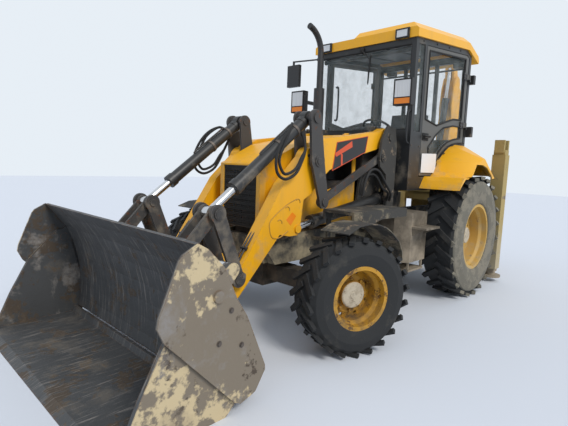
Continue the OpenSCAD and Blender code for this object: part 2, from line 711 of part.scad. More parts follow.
module loader_arms() color(yellow) at() {
    both() difference() {
        plate(arm_in_y, arm_out_y) arm_outline();
        shaft(pA, 34 + fit, 0, 900);
        shaft(pC, pin_r + fit, 0, 900);
        shaft(pL, pin_r + fit, 0, 900);
        shaft(pP, pin_r + fit, 0, 900);
        // slot for the lift cylinder and the eye of its rod
        plate(arm_mid_y - 36, arm_mid_y + 36) polygon([
            [2200, 700], [2200, 1060], [2330, 1060], [2530, 1020], [2575, 800], [2575, 700]
        ]);
    }
    // torque tube between the arms
    translate([pL[0] - 185, 0, pL[1] + 10]) rotate([90, 0, 0])
        cylinder(h = 2 * arm_in_y, r = 85, center = true);
    // caps of the lift rod pin
    both() shaft(pLiftRod, 36, arm_out_y, arm_out_y + 14);
    both() shaft(pLiftRod, 36, arm_in_y - 14, arm_in_y);
}

// levelling lever, an outer and an inner plate with a bend at the arm pin
module lever_outline() {
    difference() {
        union() {
            disc_at(pT, 72);
            disc_at(pC, 86);
            disc_at(pD, 62);
            strip(pT, pC, 68, 82);
            strip(pC, pD, 82, 56);
        }
        disc_at(pT, pin_r + fit);
    }
}

module levers() color(steel) at() both() {
    plate(534, 560) lever_outline();
    plate(350, 372) difference() {
        union() {
            disc_at(pT, 66);
            disc_at(pC, 80);
            strip(pT, pC, 62, 76);
        }
        disc_at(pT, pin_r + fit);
    }
    shaft(pC, pin_r, 350, 578);
    shaft(pC, 50, 371, arm_in_y - fit);
    shaft(pC, 60, arm_out_y + fit, 535);
    shaft(pC, 44, 560, 570);
    // seat of the levelling link, with its pin head outside
    shaft(pD, 40, 528 + fit, 535);
    shaft(pD, 34, 560, 574);
}

module level_links() color(steel) at() both() difference() {
    union() {
        plate(506, 528) link2(pD, pB, 50, 50, 38, 38, 0);
        shaft(pD, 30, 503, 507);
    }
    shaft(pB, pin_r + fit, 500, 540);
}

module lift_barrels() color(dirt) at() both()
    barrel(pLiftBase, pLiftRod, arm_mid_y, lift_r, 1180, 60, 70);

module lift_rods() color(chrome) at() both()
    rod(pLiftBase, pLiftRod, arm_mid_y, lift_r, 330, 46, 66 - 2 * fit);

module barrel_pins() color(steel) at() both() {
    shaft(pT, pin_r, 340, 574);
    shaft(pT, 42, 372 + fit, arm_mid_y - 32 - fit);
    shaft(pT, 42, arm_mid_y + 32 + fit, 534 - fit);
    shaft(pT, 40, 560 + fit, 574);
}

module dump_barrels() color(dark) at() both()
    barrel(pT, pK, arm_mid_y, dump_r, 985, 62, 64, pin_r);

module dump_rods() color(chrome) at() both()
    rod(pT, pK, arm_mid_y, dump_r, 290, 44, 90 - 2 * fit);

module crank_pins() color(steel) at() both() {
    shaft(pL, pin_r, 326, 574);
    shaft(pL, 48, 358 + fit, arm_in_y - fit);
    shaft(pL, 48, arm_out_y + fit, 532 - fit);
    shaft(pL, 40, 558 + fit, 570);
}

module bell_cranks() color(steel) at() both() {
    plate(532, 558) link2(pL, pK, 62, 66, 48, 56, pin_r + fit);
    plate(334, 358) link2(pL, pK, 62, 66, 48, 56, pin_r + fit);
}

module link_pins() color(steel) at() both() {
    shaft(pK, pin_r, 490, 574);
    shaft(pK, pin_r, 322, 400);
    shaft(pK, 44, 512 + fit, 532 - fit);
    shaft(pK, 44, 358 + fit, 378 - fit);
    shaft(pK, 40, 558 + fit, 570);
}

module bucket_links() color(steel) at() both() {
    plate(490, 512) link2(pK, pU, 54, 56, 46, 46, pin_r + fit);
    plate(378, 400) link2(pK, pU, 54, 56, 46, 46, pin_r + fit);
}

module bucket_pins() color(steel) at() both() {
    shaft(pP, pin_r, 336, 560);
    shaft(pP, 50, 364 + fit, arm_in_y - fit);
    shaft(pP, 50, arm_out_y + fit, 508 - fit);
    shaft(pP, 40, 532 + fit, 548);
}

// curve of the mouldboard, front face, [x, z]
board = [[3870, 1030], [3790, 940], [3715, 830], [3660, 700], [3622, 560], [3604, 420], [3600, 300],
    [3606, 180], [3622, 92]];
board_back = [for (i = [len(board) - 1 : -1 : 0]) board[i] - [26, -4]];

module bucket_back() color(steel) at() {
    // mouldboard between the jaw sides, wider above them
    plate(-bw + 66, bw - 66) translate(tip) polygon(concat(board, board_back));
    both() plate(bw - 67, bw - 22) translate(tip) polygon([
        [3870, 1030], [3790, 940], [3736, 860], [3710, 864], [3764, 944], [3844, 1034]
    ]);
    // rear box stiffeners
    translate([tip[0] + 3490, -bw + 180, tip[1] + 500]) cube([110, 2 * bw - 360, 90]);
    translate([tip[0] + 3500, -bw + 22, tip[1] + 130]) cube([52, 2 * bw - 44, 90]);
    translate([tip[0] + 3545, -bw + 66, tip[1] + 130]) cube([56, 2 * bw - 132, 90]);
    both() {
        // outer side guard
        plate(bw - 22, bw) translate(tip) polygon([
            [3860, 1034], [3950, 985], [3972, 955], [4080, 690], [4088, 640], [4050, 560],
            [3600, 85], [3555, 62], [3470, 85], [3440, 98], [3366, 210], [3368, 240],
            [3470, 470], [3520, 580], [3600, 700], [3692, 890], [3800, 1000]
        ]);
        // ears for the arm pin and for the bucket link
        for (y = [340, 508]) plate(y, y + 24) difference() {
            translate(tip) polygon([
                [3292, 300], [3230, 340], [3222, 400], [3260, 440], [3330, 450], [3590, 560],
                [3590, 150], [3400, 230]
            ]);
            disc_at(pP, pin_r + fit);
        }
        plate(400 + fit, 490 - fit) translate(tip) polygon([
            [3495, 812], [3440, 850], [3450, 910], [3495, 925], [3560, 905], [3720, 890],
            [3640, 690], [3600, 640]
        ]);
        shaft(pU, pin_r, 374, 516);
        shaft(pJaw, 34, bw - 64, bw + 14);
        shaft(pJaw, 56, bw - 28 + fit, bw - 20);
        // ears of the jaw cylinder
        for (y = [jaw_cyl_y - 40, jaw_cyl_y + 22 + fit]) plate(y, y + 18 - fit) translate(tip) polygon([
            [3552, 130], [3552, 205], [3500, 226], [3424, 236], [3390, 230], [3378, 205],
            [3390, 160], [3500, 130]
        ]);
        shaft(pJawBase, 22, jaw_cyl_y - 44, jaw_cyl_y + 44);
    }
}

// clam jaw: floor, sides inside the guards and cutting edge
module bucket_jaw() color(steel) at() {
    plate(-bw + 60, bw - 60) translate(tip) polygon([
        [3640, 96], [3660, 22], [3760, 20], [4290, 12], [4345, 0], [4345, 8], [4290, 34],
        [3760, 42], [3680, 46], [3664, 96]
    ]);
    plate(-bw + 60, bw - 60) translate(tip) polygon([
        [4120, 0], [4345, 0], [4290, 12], [4120, 13]
    ]);
    both() {
        plate(bw - 60, bw - 28) difference() {
            union() {
                translate(tip) polygon([
                    [3672, 690], [3670, 780], [3730, 810], [3790, 800], [4025, 555], [4160, 300],
                    [4280, 30], [4120, 0], [3640, 0], [3560, 70], [3600, 400]
                ]);
                strip(pJaw, pJawRod, 62, 44);
                disc_at(pJawRod, 44);
            }
            disc_at(pJaw, 34 + fit);
        }
        shaft(pJawRod, 30, jaw_cyl_y + 25 + fit, bw - 59);
    }
}

module jaw_barrels() color(steel) at() both()
    barrel(pJawBase, pJawRod, jaw_cyl_y, 38, 390, 40, 44, 22);

module jaw_rods() color(chrome) at() both()
    rod(pJawBase, pJawRod, jaw_cyl_y, 38, 292, 36, 50);

// rear end

module leg(side) translate([stab_x, side * stab_y, 0]) {
    translate([-62 + fit, -62 + fit, 130]) cube([124 - 2 * fit, 124 - 2 * fit, 1400]);
    translate([0, 0, 82]) cylinder(h = 50, r = 60);
    translate([0, 0, 60]) cylinder(h = 26, r = 125);
}

module stabiliser_leg_left() color(dark) at() leg(1);
module stabiliser_leg_right() color(dark) at() leg(-1);

module carriage() color(dirt) at() {
    translate([-1100, -230, 380]) cube([90 - fit, 460, 800]);
    translate([-1040, -230, 440]) cube([100, 460, 30 - fit]);
    translate([-1040, -230, 1120 + fit]) cube([100, 460, 30]);
    // swing bearings
    for (z = [400, 1050]) difference() {
        union() {
            translate([swing_x, 0, z]) cylinder(h = 90, r = 75);
            translate([swing_x, -75, z]) cube([-1095 - swing_x, 150, 90]);
        }
        translate([swing_x, 0, z - 5]) cylinder(h = 100, r = 36 + fit);
    }
    // housing of the swing cylinders
    translate([-1100, -330, 640]) cube([90 - fit, 660, 170]);
}

module kingpost() color(dirt) at() {
    translate([swing_x, 0, 380]) cylinder(h = 780, r = 36);
    translate([swing_x, 0, 490 + fit]) cylinder(h = 560 - 2 * fit, r = 70);
    both() difference() {
        union() {
            plate(106, 130) polygon([
                [-1290, 500], [-1450, 480], [-1520, 520], [-1520, 620], [-1470, 690], [-1440, 800],
                [-1420, 850], [-1350, 850], [-1290, 800]
            ]);
            shaft(pBoom, 55, 98 + fit, 108);
            shaft(pBoomBase, 40, 35 + fit, 108);
        }
        shaft(pBoom, 20, 0, 200);
    }
    // webs between the swing column and the fork
    for (z = [500, 760]) translate([-1330, -110, z]) cube([60, 220, 60]);
    shaft(pBoom, 32, -142, 142);
    shaft(pBoomBase, 25, -142, 142);
}

module boom() color(yellow) at() difference() {
    union() {
        plate(-98, 98) polygon([
            [-1510, 520], [-1530, 640], [-1600, 1000], [-1660, 1400], [-1660, 1800],
            [-1652, 2000], [-1590, 2300], [-1560, 2400], [-1478, 2400], [-1470, 2300],
            [-1420, 2000], [-1405, 1860], [-1330, 1800], [-1255, 1760], [-1235, 1700],
            [-1250, 1640], [-1340, 1590], [-1345, 1520], [-1455, 1440], [-1455, 860],
            [-1400, 640], [-1395, 540], [-1430, 500]
        ]);
        both() plate(76, 98) polygon([
            [-1475, 2200], [-1440, 2400], [-1480, 2700], [-1530, 2860], [-1600, 2890],
            [-1670, 2860], [-1690, 2760], [-1620, 2400], [-1610, 2200]
        ]);
    }
    shaft(pBoom, 32 + fit, -200, 200);
    // slots for the boom rod and the dipper barrel
    plate(-34, 34) polygon([
        [-1515, 1420], [-1515, 1650], [-1340, 1650], [-1200, 1600], [-1200, 1320], [-1480, 1320]
    ]);
    plate(-56, 56) polygon([
        [-1372, 1640], [-1200, 1600], [-1200, 1900], [-1410, 1900], [-1395, 1700]
    ]);
}

module boom_barrel() color(dark) at() barrel(pBoomBase, pBoomRod, 0, 50, 615, 48, 70, 25);
module boom_rod() color(chrome) at() rod(pBoomBase, pBoomRod, 0, 50, 200, 42, 68 - 2 * fit);

module dipper() color(yellow) at() difference() {
    union() {
        plate(-70, 70) polygon([
            pTip + 70 * dip_n - 60 * dip_d, pTip - 80 * dip_n, pTip + 300 * dip_d - 95 * dip_n,
            pDip - 60 * dip_n, pDip + 62 * dip_d, pDip + 60 * dip_n,
            pTip + 700 * dip_d + 80 * dip_n, pCurlBase + 70 * dip_d + 40 * dip_n,
            pCurlBase - 60 * dip_d + 40 * dip_n, pTip + 80 * dip_n
        ]);
        plate(-70, 70) link2(pTip, pTail, 80, 56, 78, 50, 0);
        both() shaft(pTip, 60, 69, 76 - fit);
        both() shaft(pRock, 44, 69, 80 - fit);
        both() shaft(pTail, 30, 69, 74);
    }
    shaft(pTip, 32 + fit, -100, 100);
    shaft(pRock, 30 + fit, -100, 100);
    shaft(pDip, 30 + fit, -100, 100);
    plate(-38, 38) {
        disc_at(pTail, 120);
        strip(pTail, pTail + 340 * (pDipBase - pTail) / norm(pDipBase - pTail), 44, 40);
    }
    plate(-50, 50) {
        disc_at(pCurlBase, 110);
        strip(pCurlBase, pJoin, 62, 62);
    }
}

module dipper_barrel() color(dark) at() barrel(pDipBase, pTail, 0, 45, 860, 46, 66, 25);
module dipper_rod() color(chrome) at() rod(pDipBase, pTail, 0, 45, 560, 40, 76 - 2 * fit);

module rocker() color(steel) at() {
    both() {
        plate(80, 98) link2(pRock, pJoin, 44, 42, 36, 34, 0);
        shaft(pJoin, 34, 30 + fit, 81);
        shaft(pJoin, 24, 80, 128);
    }
    shaft(pRock, 30, -98, 98);
}

module hoe_link() color(steel) at() both()
    plate(98 + fit, 120) link2(pJoin, pEar, 44, 44, 36, 36, 24 + fit);

module hoe_bucket() color(steel) at() {
    difference() {
        plate(-hoe_bucket_w / 2, hoe_bucket_w / 2) polygon([
            [-1930, 1250], [-2000, 1170], [-2050, 1060], [-2045, 900], [-1950, 790],
            [-1810, 760], [-1645, 905], [-1665, 930], [-1820, 1250]
        ]);
        plate(-hoe_bucket_w / 2 + 18, hoe_bucket_w / 2 - 18) polygon([
            [-1915, 1225], [-1982, 1160], [-2028, 1055], [-2023, 908], [-1940, 811],
            [-1815, 783], [-1650, 925], [-1560, 1000], [-1760, 1400], [-1900, 1400]
        ]);
    }
    both() {
        plate(78, 98) difference() {
            union() {
                disc_at(pEar, 44);
                strip(pEar, pDip, 44, 56);
                disc_at(pDip, 56);
                polygon([
                    [-1880, 1400], [-1810, 1380], [-1840, 1225], [-1930, 1235], [-1985, 1175],
                    [-2030, 1230]
                ]);
            }
        }
        shaft(pDip, 50, 70 + fit, 79);
    }
    shaft(pDip, 30, -98, 98);
    shaft(pEar, 24, 78, 128);
    shaft(pEar, 24, -128, -78);
    for (i = [-2 : 2]) translate([-1660, i * 110, 890]) rotate([0, 40, 0])
        translate([-20, -22, -10]) cube([110, 44, 24]);
}

module curl_barrel() color(dark) at() barrel(pCurlBase, pJoin, 0, 40, 620, 42, 100 - 2 * fit, 22);
module curl_rod() color(chrome) at() rod(pCurlBase, pJoin, 0, 40, 532, 36, 60);

module boom_pins() color(yellow) at() {
    shaft(pTip, 32, -98, 98);
    shaft(pDipBase, 25, -98, 98);
    both() shaft(pDipBase, 40, 33 + fit, 60);
    both() shaft(pBoomRod, 36, 98, 110);
}

module dipper_pins() color(yellow) at() shaft(pCurlBase, 22, -70, 70);

module below_door(t) {
    translate([-552, cab_half_w + 18, 0]) rotate_extrude($fn = 72) polygon(concat(
        [[0, 1000], [0, 1792 - t]],
        [for (i = [6 : -1 : 1]) arc_pts[i] + [552 + 18 - t * 0.7, 24 - t * 0.7]],
        [[860 - t, 1372 - t], [1400, 1372 - t], [1400, 1000]]));
}

module fender_side(t) {
    polygon([
        [560 - t, 1237 - 2 * t], [548 - t, 1262 - t * 0.5], [500 - t, 1330 - t * 0.6], [420 - t, 1420 - t],
        [250 - t, 1800 - t], [-560, 1800 - t], [-640 + t, 1770 - t], [-640 + t, 1396 - 2 * t]
    ]);
}

// the fender falls to its outer lip, and behind the axle also to the rear
module fender_slopes(t) intersection() {
    translate([-1000, cab_half_w, 1773]) rotate([-21.3, 0, 0])
        translate([0, -400, -900 - t]) cube([2000, 1200, 900]);
    translate([-529, 1110, 1353]) rotate([-41.8, -30.5, 0])
        translate([-1500, -1500, -1500 - t]) cube([3000, 3000, 1500]);
}

chassis();
engine();
front_axle();
rear_axle();
hood();
grille();
cab_frame();
roof();
cab_glass();
interior();
rear_fenders();
tanks();
exhaust();
lamps();
knuckle_left();
knuckle_right();
rim_front_left();
rim_front_right();
rim_rear_left();
rim_rear_right();
tyre_front_left();
tyre_front_right();
tyre_rear_left();
tyre_rear_right();
door_left();
door_right();
door_glass_left();
door_glass_right();
loader_arms();
levers();
level_links();
lift_barrels();
lift_rods();
barrel_pins();
dump_barrels();
dump_rods();
crank_pins();
bell_cranks();
link_pins();
bucket_links();
bucket_pins();
bucket_back();
bucket_jaw();
jaw_barrels();
jaw_rods();
stabiliser_leg_left();
stabiliser_leg_right();
carriage();
kingpost();
union() {
    boom();
    boom_pins();
}
boom_barrel();
boom_rod();
union() {
    dipper();
    dipper_pins();
}
dipper_barrel();
dipper_rod();
rocker();
hoe_link();
hoe_bucket();
curl_barrel();
curl_rod();
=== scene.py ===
"""Looks of the backhoe loader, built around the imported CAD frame.

Metres, +X forwards to the loader bucket, +Y to the machine's left, +Z up.
Places are counted from the rear axle in millimetres, as in the part's source, and turned into
metres of the frame by place().
"""
import math

import bmesh
import bpy
from mathutils import Matrix, Vector


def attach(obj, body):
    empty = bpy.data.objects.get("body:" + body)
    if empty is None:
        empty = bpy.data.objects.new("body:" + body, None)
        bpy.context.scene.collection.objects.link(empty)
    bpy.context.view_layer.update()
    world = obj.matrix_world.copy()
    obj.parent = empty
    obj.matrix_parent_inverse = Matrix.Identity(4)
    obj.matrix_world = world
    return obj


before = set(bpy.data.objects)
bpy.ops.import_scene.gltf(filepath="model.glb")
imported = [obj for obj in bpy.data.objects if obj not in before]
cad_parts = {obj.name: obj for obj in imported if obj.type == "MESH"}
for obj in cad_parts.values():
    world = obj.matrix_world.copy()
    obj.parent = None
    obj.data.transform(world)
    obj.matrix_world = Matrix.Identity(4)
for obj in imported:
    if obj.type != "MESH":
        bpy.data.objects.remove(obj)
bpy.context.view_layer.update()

# driving sizes, millimetres from the rear axle
REAR_AXLE_X = -1134.2
WHEELBASE = 2308
FRONT_R, REAR_R = 461, 698
KINGPIN_Y, FRONT_WHEEL_Y, REAR_WHEEL_Y = 888, 1060, 960
# outer face of each hub, from its wheel's middle plane
FRONT_HUB, REAR_HUB = 32, 52
STEER_REST = math.radians(19.4)
CAB_FRONT, CAB_REAR, CAB_HALF = 850, -620, 665
ROOF_LOW = 2850
ARM_OUT, ARM_IN = 500, 390
BUCKET_HALF = 1146
# pins of the loader arm, and the base pin of the dump cylinder, [x, z]
LEVER_PIN, CRANK_PIN, DUMP_BASE = (2235, 1484), (3085, 590), (2285, 1844)
ROOF_UNDER = ROOF_LOW - 35
# thickness of a sticker on the paint
DECAL = 1.5
# camera solved on the wheels, the bucket and the cab: place, yaw, pitch and roll, focal length
CAMERA_PLACE = (5101, 2913, 1448)
CAMERA_DEGREES = (-136.295, -6.492, 2.192)
FOCAL_PIXELS, PICTURE_WIDTH, SENSOR = 428.526, 568, 36
# metres over which one coat gives way to the next
SOFT_EDGE = 0.004
MUD_SCALE = 5.0
SIDES = (("left", 1), ("right", -1))
UP = Vector((0, 0, 1))


def place(x, y, z):
    """A point given in millimetres from the rear axle, in metres of the frame."""
    return Vector(((x + REAR_AXLE_X) / 1000, y / 1000, z / 1000))


def span(out, inner, outer):
    """Low and high Y between two distances from the centre, on one side."""
    return sorted((out * inner, out * outer))


# shader building

class Net:
    """Short ways to lay shader nodes in one tree."""

    def __init__(self, tree):
        self.tree = tree

    def node(self, kind, **settings):
        made = self.tree.nodes.new(kind)
        for key, value in settings.items():
            setattr(made, key, value)
        return made

    def put(self, socket, value):
        if hasattr(value, "is_output"):
            self.tree.links.new(value, socket)
        elif isinstance(value, (tuple, list)) and len(value) == 3 and socket.type == "RGBA":
            socket.default_value = (*value, 1)
        else:
            socket.default_value = value

    def math(self, operation, a, b=0.0, clamp=False):
        made = self.node("ShaderNodeMath", operation=operation, use_clamp=clamp)
        self.put(made.inputs[0], a)
        self.put(made.inputs[1], b)
        return made.outputs[0]

    def mix(self, share, a, b):
        made = self.node("ShaderNodeMix", data_type="RGBA")
        self.put(made.inputs["Factor"], share)
        self.put(made.inputs[6], a)
        self.put(made.inputs[7], b)
        return made.outputs[2]

    def blend(self, share, a, b):
        made = self.node("ShaderNodeMix", data_type="FLOAT")
        self.put(made.inputs["Factor"], share)
        self.put(made.inputs[2], a)
        self.put(made.inputs[3], b)
        return made.outputs[0]

    def ramp(self, value, low, high, to_low=0.0, to_high=1.0):
        made = self.node("ShaderNodeMapRange", clamp=True)
        for socket, given in zip(made.inputs, (value, low, high, to_low, to_high)):
            self.put(socket, given)
        return made.outputs[0]

    def noise(self, vector, scale, detail=4.0, rough=0.55):
        made = self.node("ShaderNodeTexNoise")
        self.put(made.inputs["Vector"], vector)
        self.put(made.inputs["Scale"], scale)
        self.put(made.inputs["Detail"], detail)
        self.put(made.inputs["Roughness"], rough)
        return made.outputs["Fac"]

    def object_place(self):
        return self.node("ShaderNodeTexCoord").outputs["Object"]

    def stretched(self, vector, scale, turn=(0, 0, 0)):
        made = self.node("ShaderNodeMapping")
        self.put(made.inputs["Vector"], vector)
        made.inputs["Scale"].default_value = scale
        made.inputs["Rotation"].default_value = turn
        return made.outputs[0]

    def group(self, tree, **given):
        made = self.node("ShaderNodeGroup", node_tree=tree)
        for key, value in given.items():
            self.put(made.inputs[key.replace("_", " ")], value)
        return made.outputs


def effect(name, inputs, build):
    """A shader node group with named float inputs and one output, Mask."""
    tree = bpy.data.node_groups.new(name, "ShaderNodeTree")
    for label, value in inputs:
        socket = tree.interface.new_socket(label, in_out="INPUT", socket_type="NodeSocketFloat")
        socket.default_value = value
    tree.interface.new_socket("Mask", in_out="OUTPUT", socket_type="NodeSocketFloat")
    net = Net(tree)
    source = net.node("NodeGroupInput")
    target = net.node("NodeGroupOutput")
    net.put(target.inputs["Mask"], build(net, source.outputs))
    return tree


def build_mud(net, given):
    """Mud that is thick low down and breaks up towards its upper edge."""
    spot = net.object_place()
    height = net.node("ShaderNodeSeparateXYZ")
    net.put(height.inputs[0], spot)
    low = net.ramp(height.outputs["Z"], given["Low"], given["High"], 1.0, 0.0)
    patch = net.noise(spot, given["Scale"], 7.0, 0.62)
    reach = net.math("MULTIPLY", low, given["Cover"])
    return net.ramp(net.math("ADD", patch, reach), 0.62, 0.92)


def build_chips(net, given):
    """Small islands where the paint or rust has come away."""
    spot = net.object_place()
    large = net.noise(spot, given["Scale"], 5.0, 0.6)
    small = net.noise(spot, net.math("MULTIPLY", given["Scale"], 6.0), 4.0, 0.65)
    both = net.blend(0.35, large, small)
    edge = net.math("SUBTRACT", 1.0, given["Share"])
    return net.ramp(both, edge, net.math("ADD", edge, 0.035))


def build_edge(net, given):
    """Bare lines along sharp edges, broken up by noise."""
    round_off = net.node("ShaderNodeBevel", samples=4)
    net.put(round_off.inputs["Radius"], given["Width"])
    true = net.node("ShaderNodeNewGeometry").outputs["True Normal"]
    dot = net.node("ShaderNodeVectorMath", operation="DOT_PRODUCT")
    net.put(dot.inputs[0], round_off.outputs[0])
    net.put(dot.inputs[1], true)
    sharp = net.ramp(dot.outputs["Value"], 0.99, 0.84)
    broken = net.ramp(net.noise(net.object_place(), 26.0, 5.0, 0.7), 0.42, 0.6)
    return net.math("MULTIPLY", sharp, broken)


def build_scratch(net, given):
    """Long fine lines along X and Z, where loads have slid over the steel."""
    spot = net.object_place()
    along = net.noise(net.stretched(spot, (0.6, 9.0, 0.6)), given["Scale"], 6.0, 0.7)
    slanted = net.stretched(spot, (1.0, 12.0, 0.35), (0, 0.5, 0.2))
    down = net.noise(slanted, given["Scale"], 6.0, 0.7)
    full = net.math("ADD", given["From"], 0.12)
    return net.ramp(net.math("MAXIMUM", along, down), given["From"], full)


def build_streak(net, given):
    """Runs of dirt down upright walls."""
    spot = net.object_place()
    runs = net.noise(net.stretched(spot, (9.0, 9.0, 0.9)), given["Scale"], 5.0, 0.6)
    return net.ramp(runs, 0.5, 0.75)


MUD = effect("mud", (("Low", 0.3), ("High", 1.2), ("Scale", 5.0), ("Cover", 0.6)), build_mud)
CHIPS = effect("chips", (("Scale", 8.0), ("Share", 0.4)), build_chips)
EDGE = effect("edge_wear", (("Width", 0.006),), build_edge)
SCRATCH = effect("scratches", (("Scale", 6.0), ("From", 0.6)), build_scratch)
STREAK = effect("streaks", (("Scale", 1.0),), build_streak)


def new_material(name):
    """A material with its node helper and its main shader."""
    material = bpy.data.materials.new(name)
    material.use_nodes = True
    return material, Net(material.node_tree), material.node_tree.nodes["Principled BSDF"]


def finish(name, colour, rough, metal=0.0, vary=0.12, mud=None, chips=None, edge=None,
           scratch=None, streak=None, guards=None, behind=None, bump=0.15,
           bump_scale=60.0):
    """A weathered coat: base colour with layers laid over it, each a colour with its own mask.

    mud (colour, low, high, cover, then a scale where it isn't MUD_SCALE), chips (colour, scale,
    share), edge (colour, width),
    scratch (colour, scale, from), streak (colour, strength), guards (base colour, patch colour,
    distance from the centre plane, scale, share) for what lies further out to each side, and
    behind (colour, X) for what lies behind that X."""
    material, net, shader = new_material(name)
    spot = net.object_place()
    tone = net.noise(spot, 2.2, 5.0, 0.6)
    darker = tuple(c * (1 - vary) for c in colour)
    lighter = tuple(min(1.0, c * (1 + vary)) for c in colour)
    shade = net.mix(tone, darker, lighter)
    gloss = net.blend(tone, rough * 0.85, min(1.0, rough * 1.2))
    bare = None
    if streak:
        mask = net.math("MULTIPLY", net.group(STREAK, Scale=1.0)["Mask"], streak[1])
        shade = net.mix(mask, shade, streak[0])
    across = net.node("ShaderNodeSeparateXYZ")
    net.put(across.inputs[0], spot)
    if behind:
        rear_colour, rear_x = behind
        rear = net.ramp(across.outputs["X"], rear_x - SOFT_EDGE, rear_x, 1.0, 0.0)
        shade = net.mix(rear, shade, rear_colour)
    # further out than guard_y: the bucket's side guards, and on the rear tyres painted sunlight on
    # the outer sidewall
    if guards:
        guard_colour, patch_colour, guard_y, patch_scale, patch_share = guards
        out_from = net.math("ABSOLUTE", across.outputs["Y"])
        outer = net.ramp(out_from, guard_y, guard_y + SOFT_EDGE)
        shade = net.mix(outer, shade, guard_colour)
    if chips:
        mask = net.group(CHIPS, Scale=chips[1], Share=chips[2])["Mask"]
        shade = net.mix(mask, shade, chips[0])
        gloss = net.blend(mask, gloss, 0.75)
        bare = mask
    if scratch:
        mask = net.group(SCRATCH, Scale=scratch[1], From=scratch[2])["Mask"]
        shade = net.mix(mask, shade, scratch[0])
    # patches over the outer sides; on the rear tyres they mottle the painted sunlight
    if guards:
        patches = net.group(CHIPS, Scale=patch_scale, Share=patch_share)["Mask"]
        shade = net.mix(net.math("MULTIPLY", outer, patches), shade, patch_colour)
    if edge:
        mask = net.group(EDGE, Width=edge[1])["Mask"]
        shade = net.mix(mask, shade, edge[0])
    if mud:
        mud_colour, low, high, cover, *scale = mud
        mask = net.group(MUD, Low=low, High=high, Scale=scale[0] if scale else MUD_SCALE,
                         Cover=cover)["Mask"]
        shade = net.mix(mask, shade, mud_colour)
        gloss = net.blend(mask, gloss, 0.95)
        bare = mask if bare is None else net.math("MAXIMUM", bare, mask)
    net.put(shader.inputs["Base Color"], shade)
    net.put(shader.inputs["Roughness"], gloss)
    shader.inputs["Metallic"].default_value = metal
    relief = net.node("ShaderNodeBump")
    relief.inputs["Strength"].default_value = bump
    relief.inputs["Distance"].default_value = 0.004
    grain = net.noise(spot, bump_scale, 6.0, 0.6)
    if bare is not None:
        grain = net.math("ADD", grain, net.math("MULTIPLY", bare, 0.8))
    net.put(relief.inputs["Height"], grain)
    net.put(shader.inputs["Normal"], relief.outputs[0])
    return material


# colours, linear light
YELLOW = (0.80, 0.385, 0.006)
YELLOW_BRIGHT = (0.82, 0.40, 0.008)
MUD_BROWN = (0.165, 0.125, 0.085)
MUD_PALE = (0.30, 0.25, 0.185)
MUD_TAN = (0.40, 0.335, 0.215)
RUST = (0.12, 0.05, 0.025)

arm_paint = finish("arm_paint", YELLOW, 0.38, mud=(MUD_PALE, 0.0, 1.2, 0.16), vary=0.06,
                   chips=(RUST, 13.0, 0.335), edge=((0.16, 0.09, 0.05), 0.005), bump=0.08,
                   streak=((0.42, 0.25, 0.07), 0.35))
hood_paint = finish("hood_paint", YELLOW, 0.4, mud=(MUD_PALE, 0.7, 1.5, 0.26), vary=0.06,
                    streak=((0.45, 0.30, 0.12), 0.4), bump=0.06)
roof_paint = finish("roof_paint", YELLOW_BRIGHT, 0.34, vary=0.04, bump=0.03,
                    streak=((0.55, 0.30, 0.06), 0.25))
fender_paint = finish("fender_paint", YELLOW_BRIGHT, 0.42, mud=(MUD_PALE, 1.1, 1.75, 0.22),
                      vary=0.06, bump=0.05)
rim_front_paint = finish("rim_front_paint", (0.46, 0.235, 0.016), 0.55,
                         mud=((0.11, 0.075, 0.04), 0.0, 1.0, 0.34, 9.0),
                         chips=((0.10, 0.045, 0.012), 14.0, 0.46), edge=((0.62, 0.33, 0.03), 0.008))
rim_rear_paint = finish("rim_rear_paint", (0.50, 0.31, 0.075), 0.6,
                        mud=(MUD_TAN, 0.0, 1.3, 0.30, 7.0),
                        chips=((0.22, 0.12, 0.04), 14.0, 0.40), edge=((0.62, 0.44, 0.14), 0.008))
hub_pale = finish("hub_pale", (0.46, 0.40, 0.30), 0.7, mud=(MUD_BROWN, 0.1, 1.2, 0.22, 14.0),
                  chips=((0.16, 0.12, 0.08), 22.0, 0.42), bump=0.3)
frame_mud = finish("frame_mud", (0.040, 0.038, 0.034), 0.8, mud=(MUD_TAN, 0.1, 1.22, 0.50),
                   chips=(MUD_BROWN, 7.0, 0.44), behind=((0.36, 0.27, 0.10), -1.95), bump=0.5,
                   bump_scale=35.0)
axle_mud = finish("axle_mud", (0.05, 0.043, 0.036), 0.85, mud=(MUD_BROWN, 0.1, 1.0, 0.3),
                  bump=0.5, bump_scale=40.0)


def bucket_coat(name, outer):
    """Worn bucket steel. Further from the centre than outer it is a side guard's outer face."""
    return finish(name, (0.062, 0.064, 0.066), 0.55, metal=0.2, vary=0.3,
                  chips=((0.075, 0.056, 0.040), 4.0, 0.46), scratch=((0.24, 0.22, 0.20), 5.0, 0.57),
                  guards=((0.20, 0.165, 0.122), (0.56, 0.45, 0.27), outer, 2.3, 0.465),
                  mud=((0.20, 0.165, 0.125), -0.3, 0.9, 0.10, 3.0),
                  edge=((0.17, 0.085, 0.04), 0.007), bump=0.28)


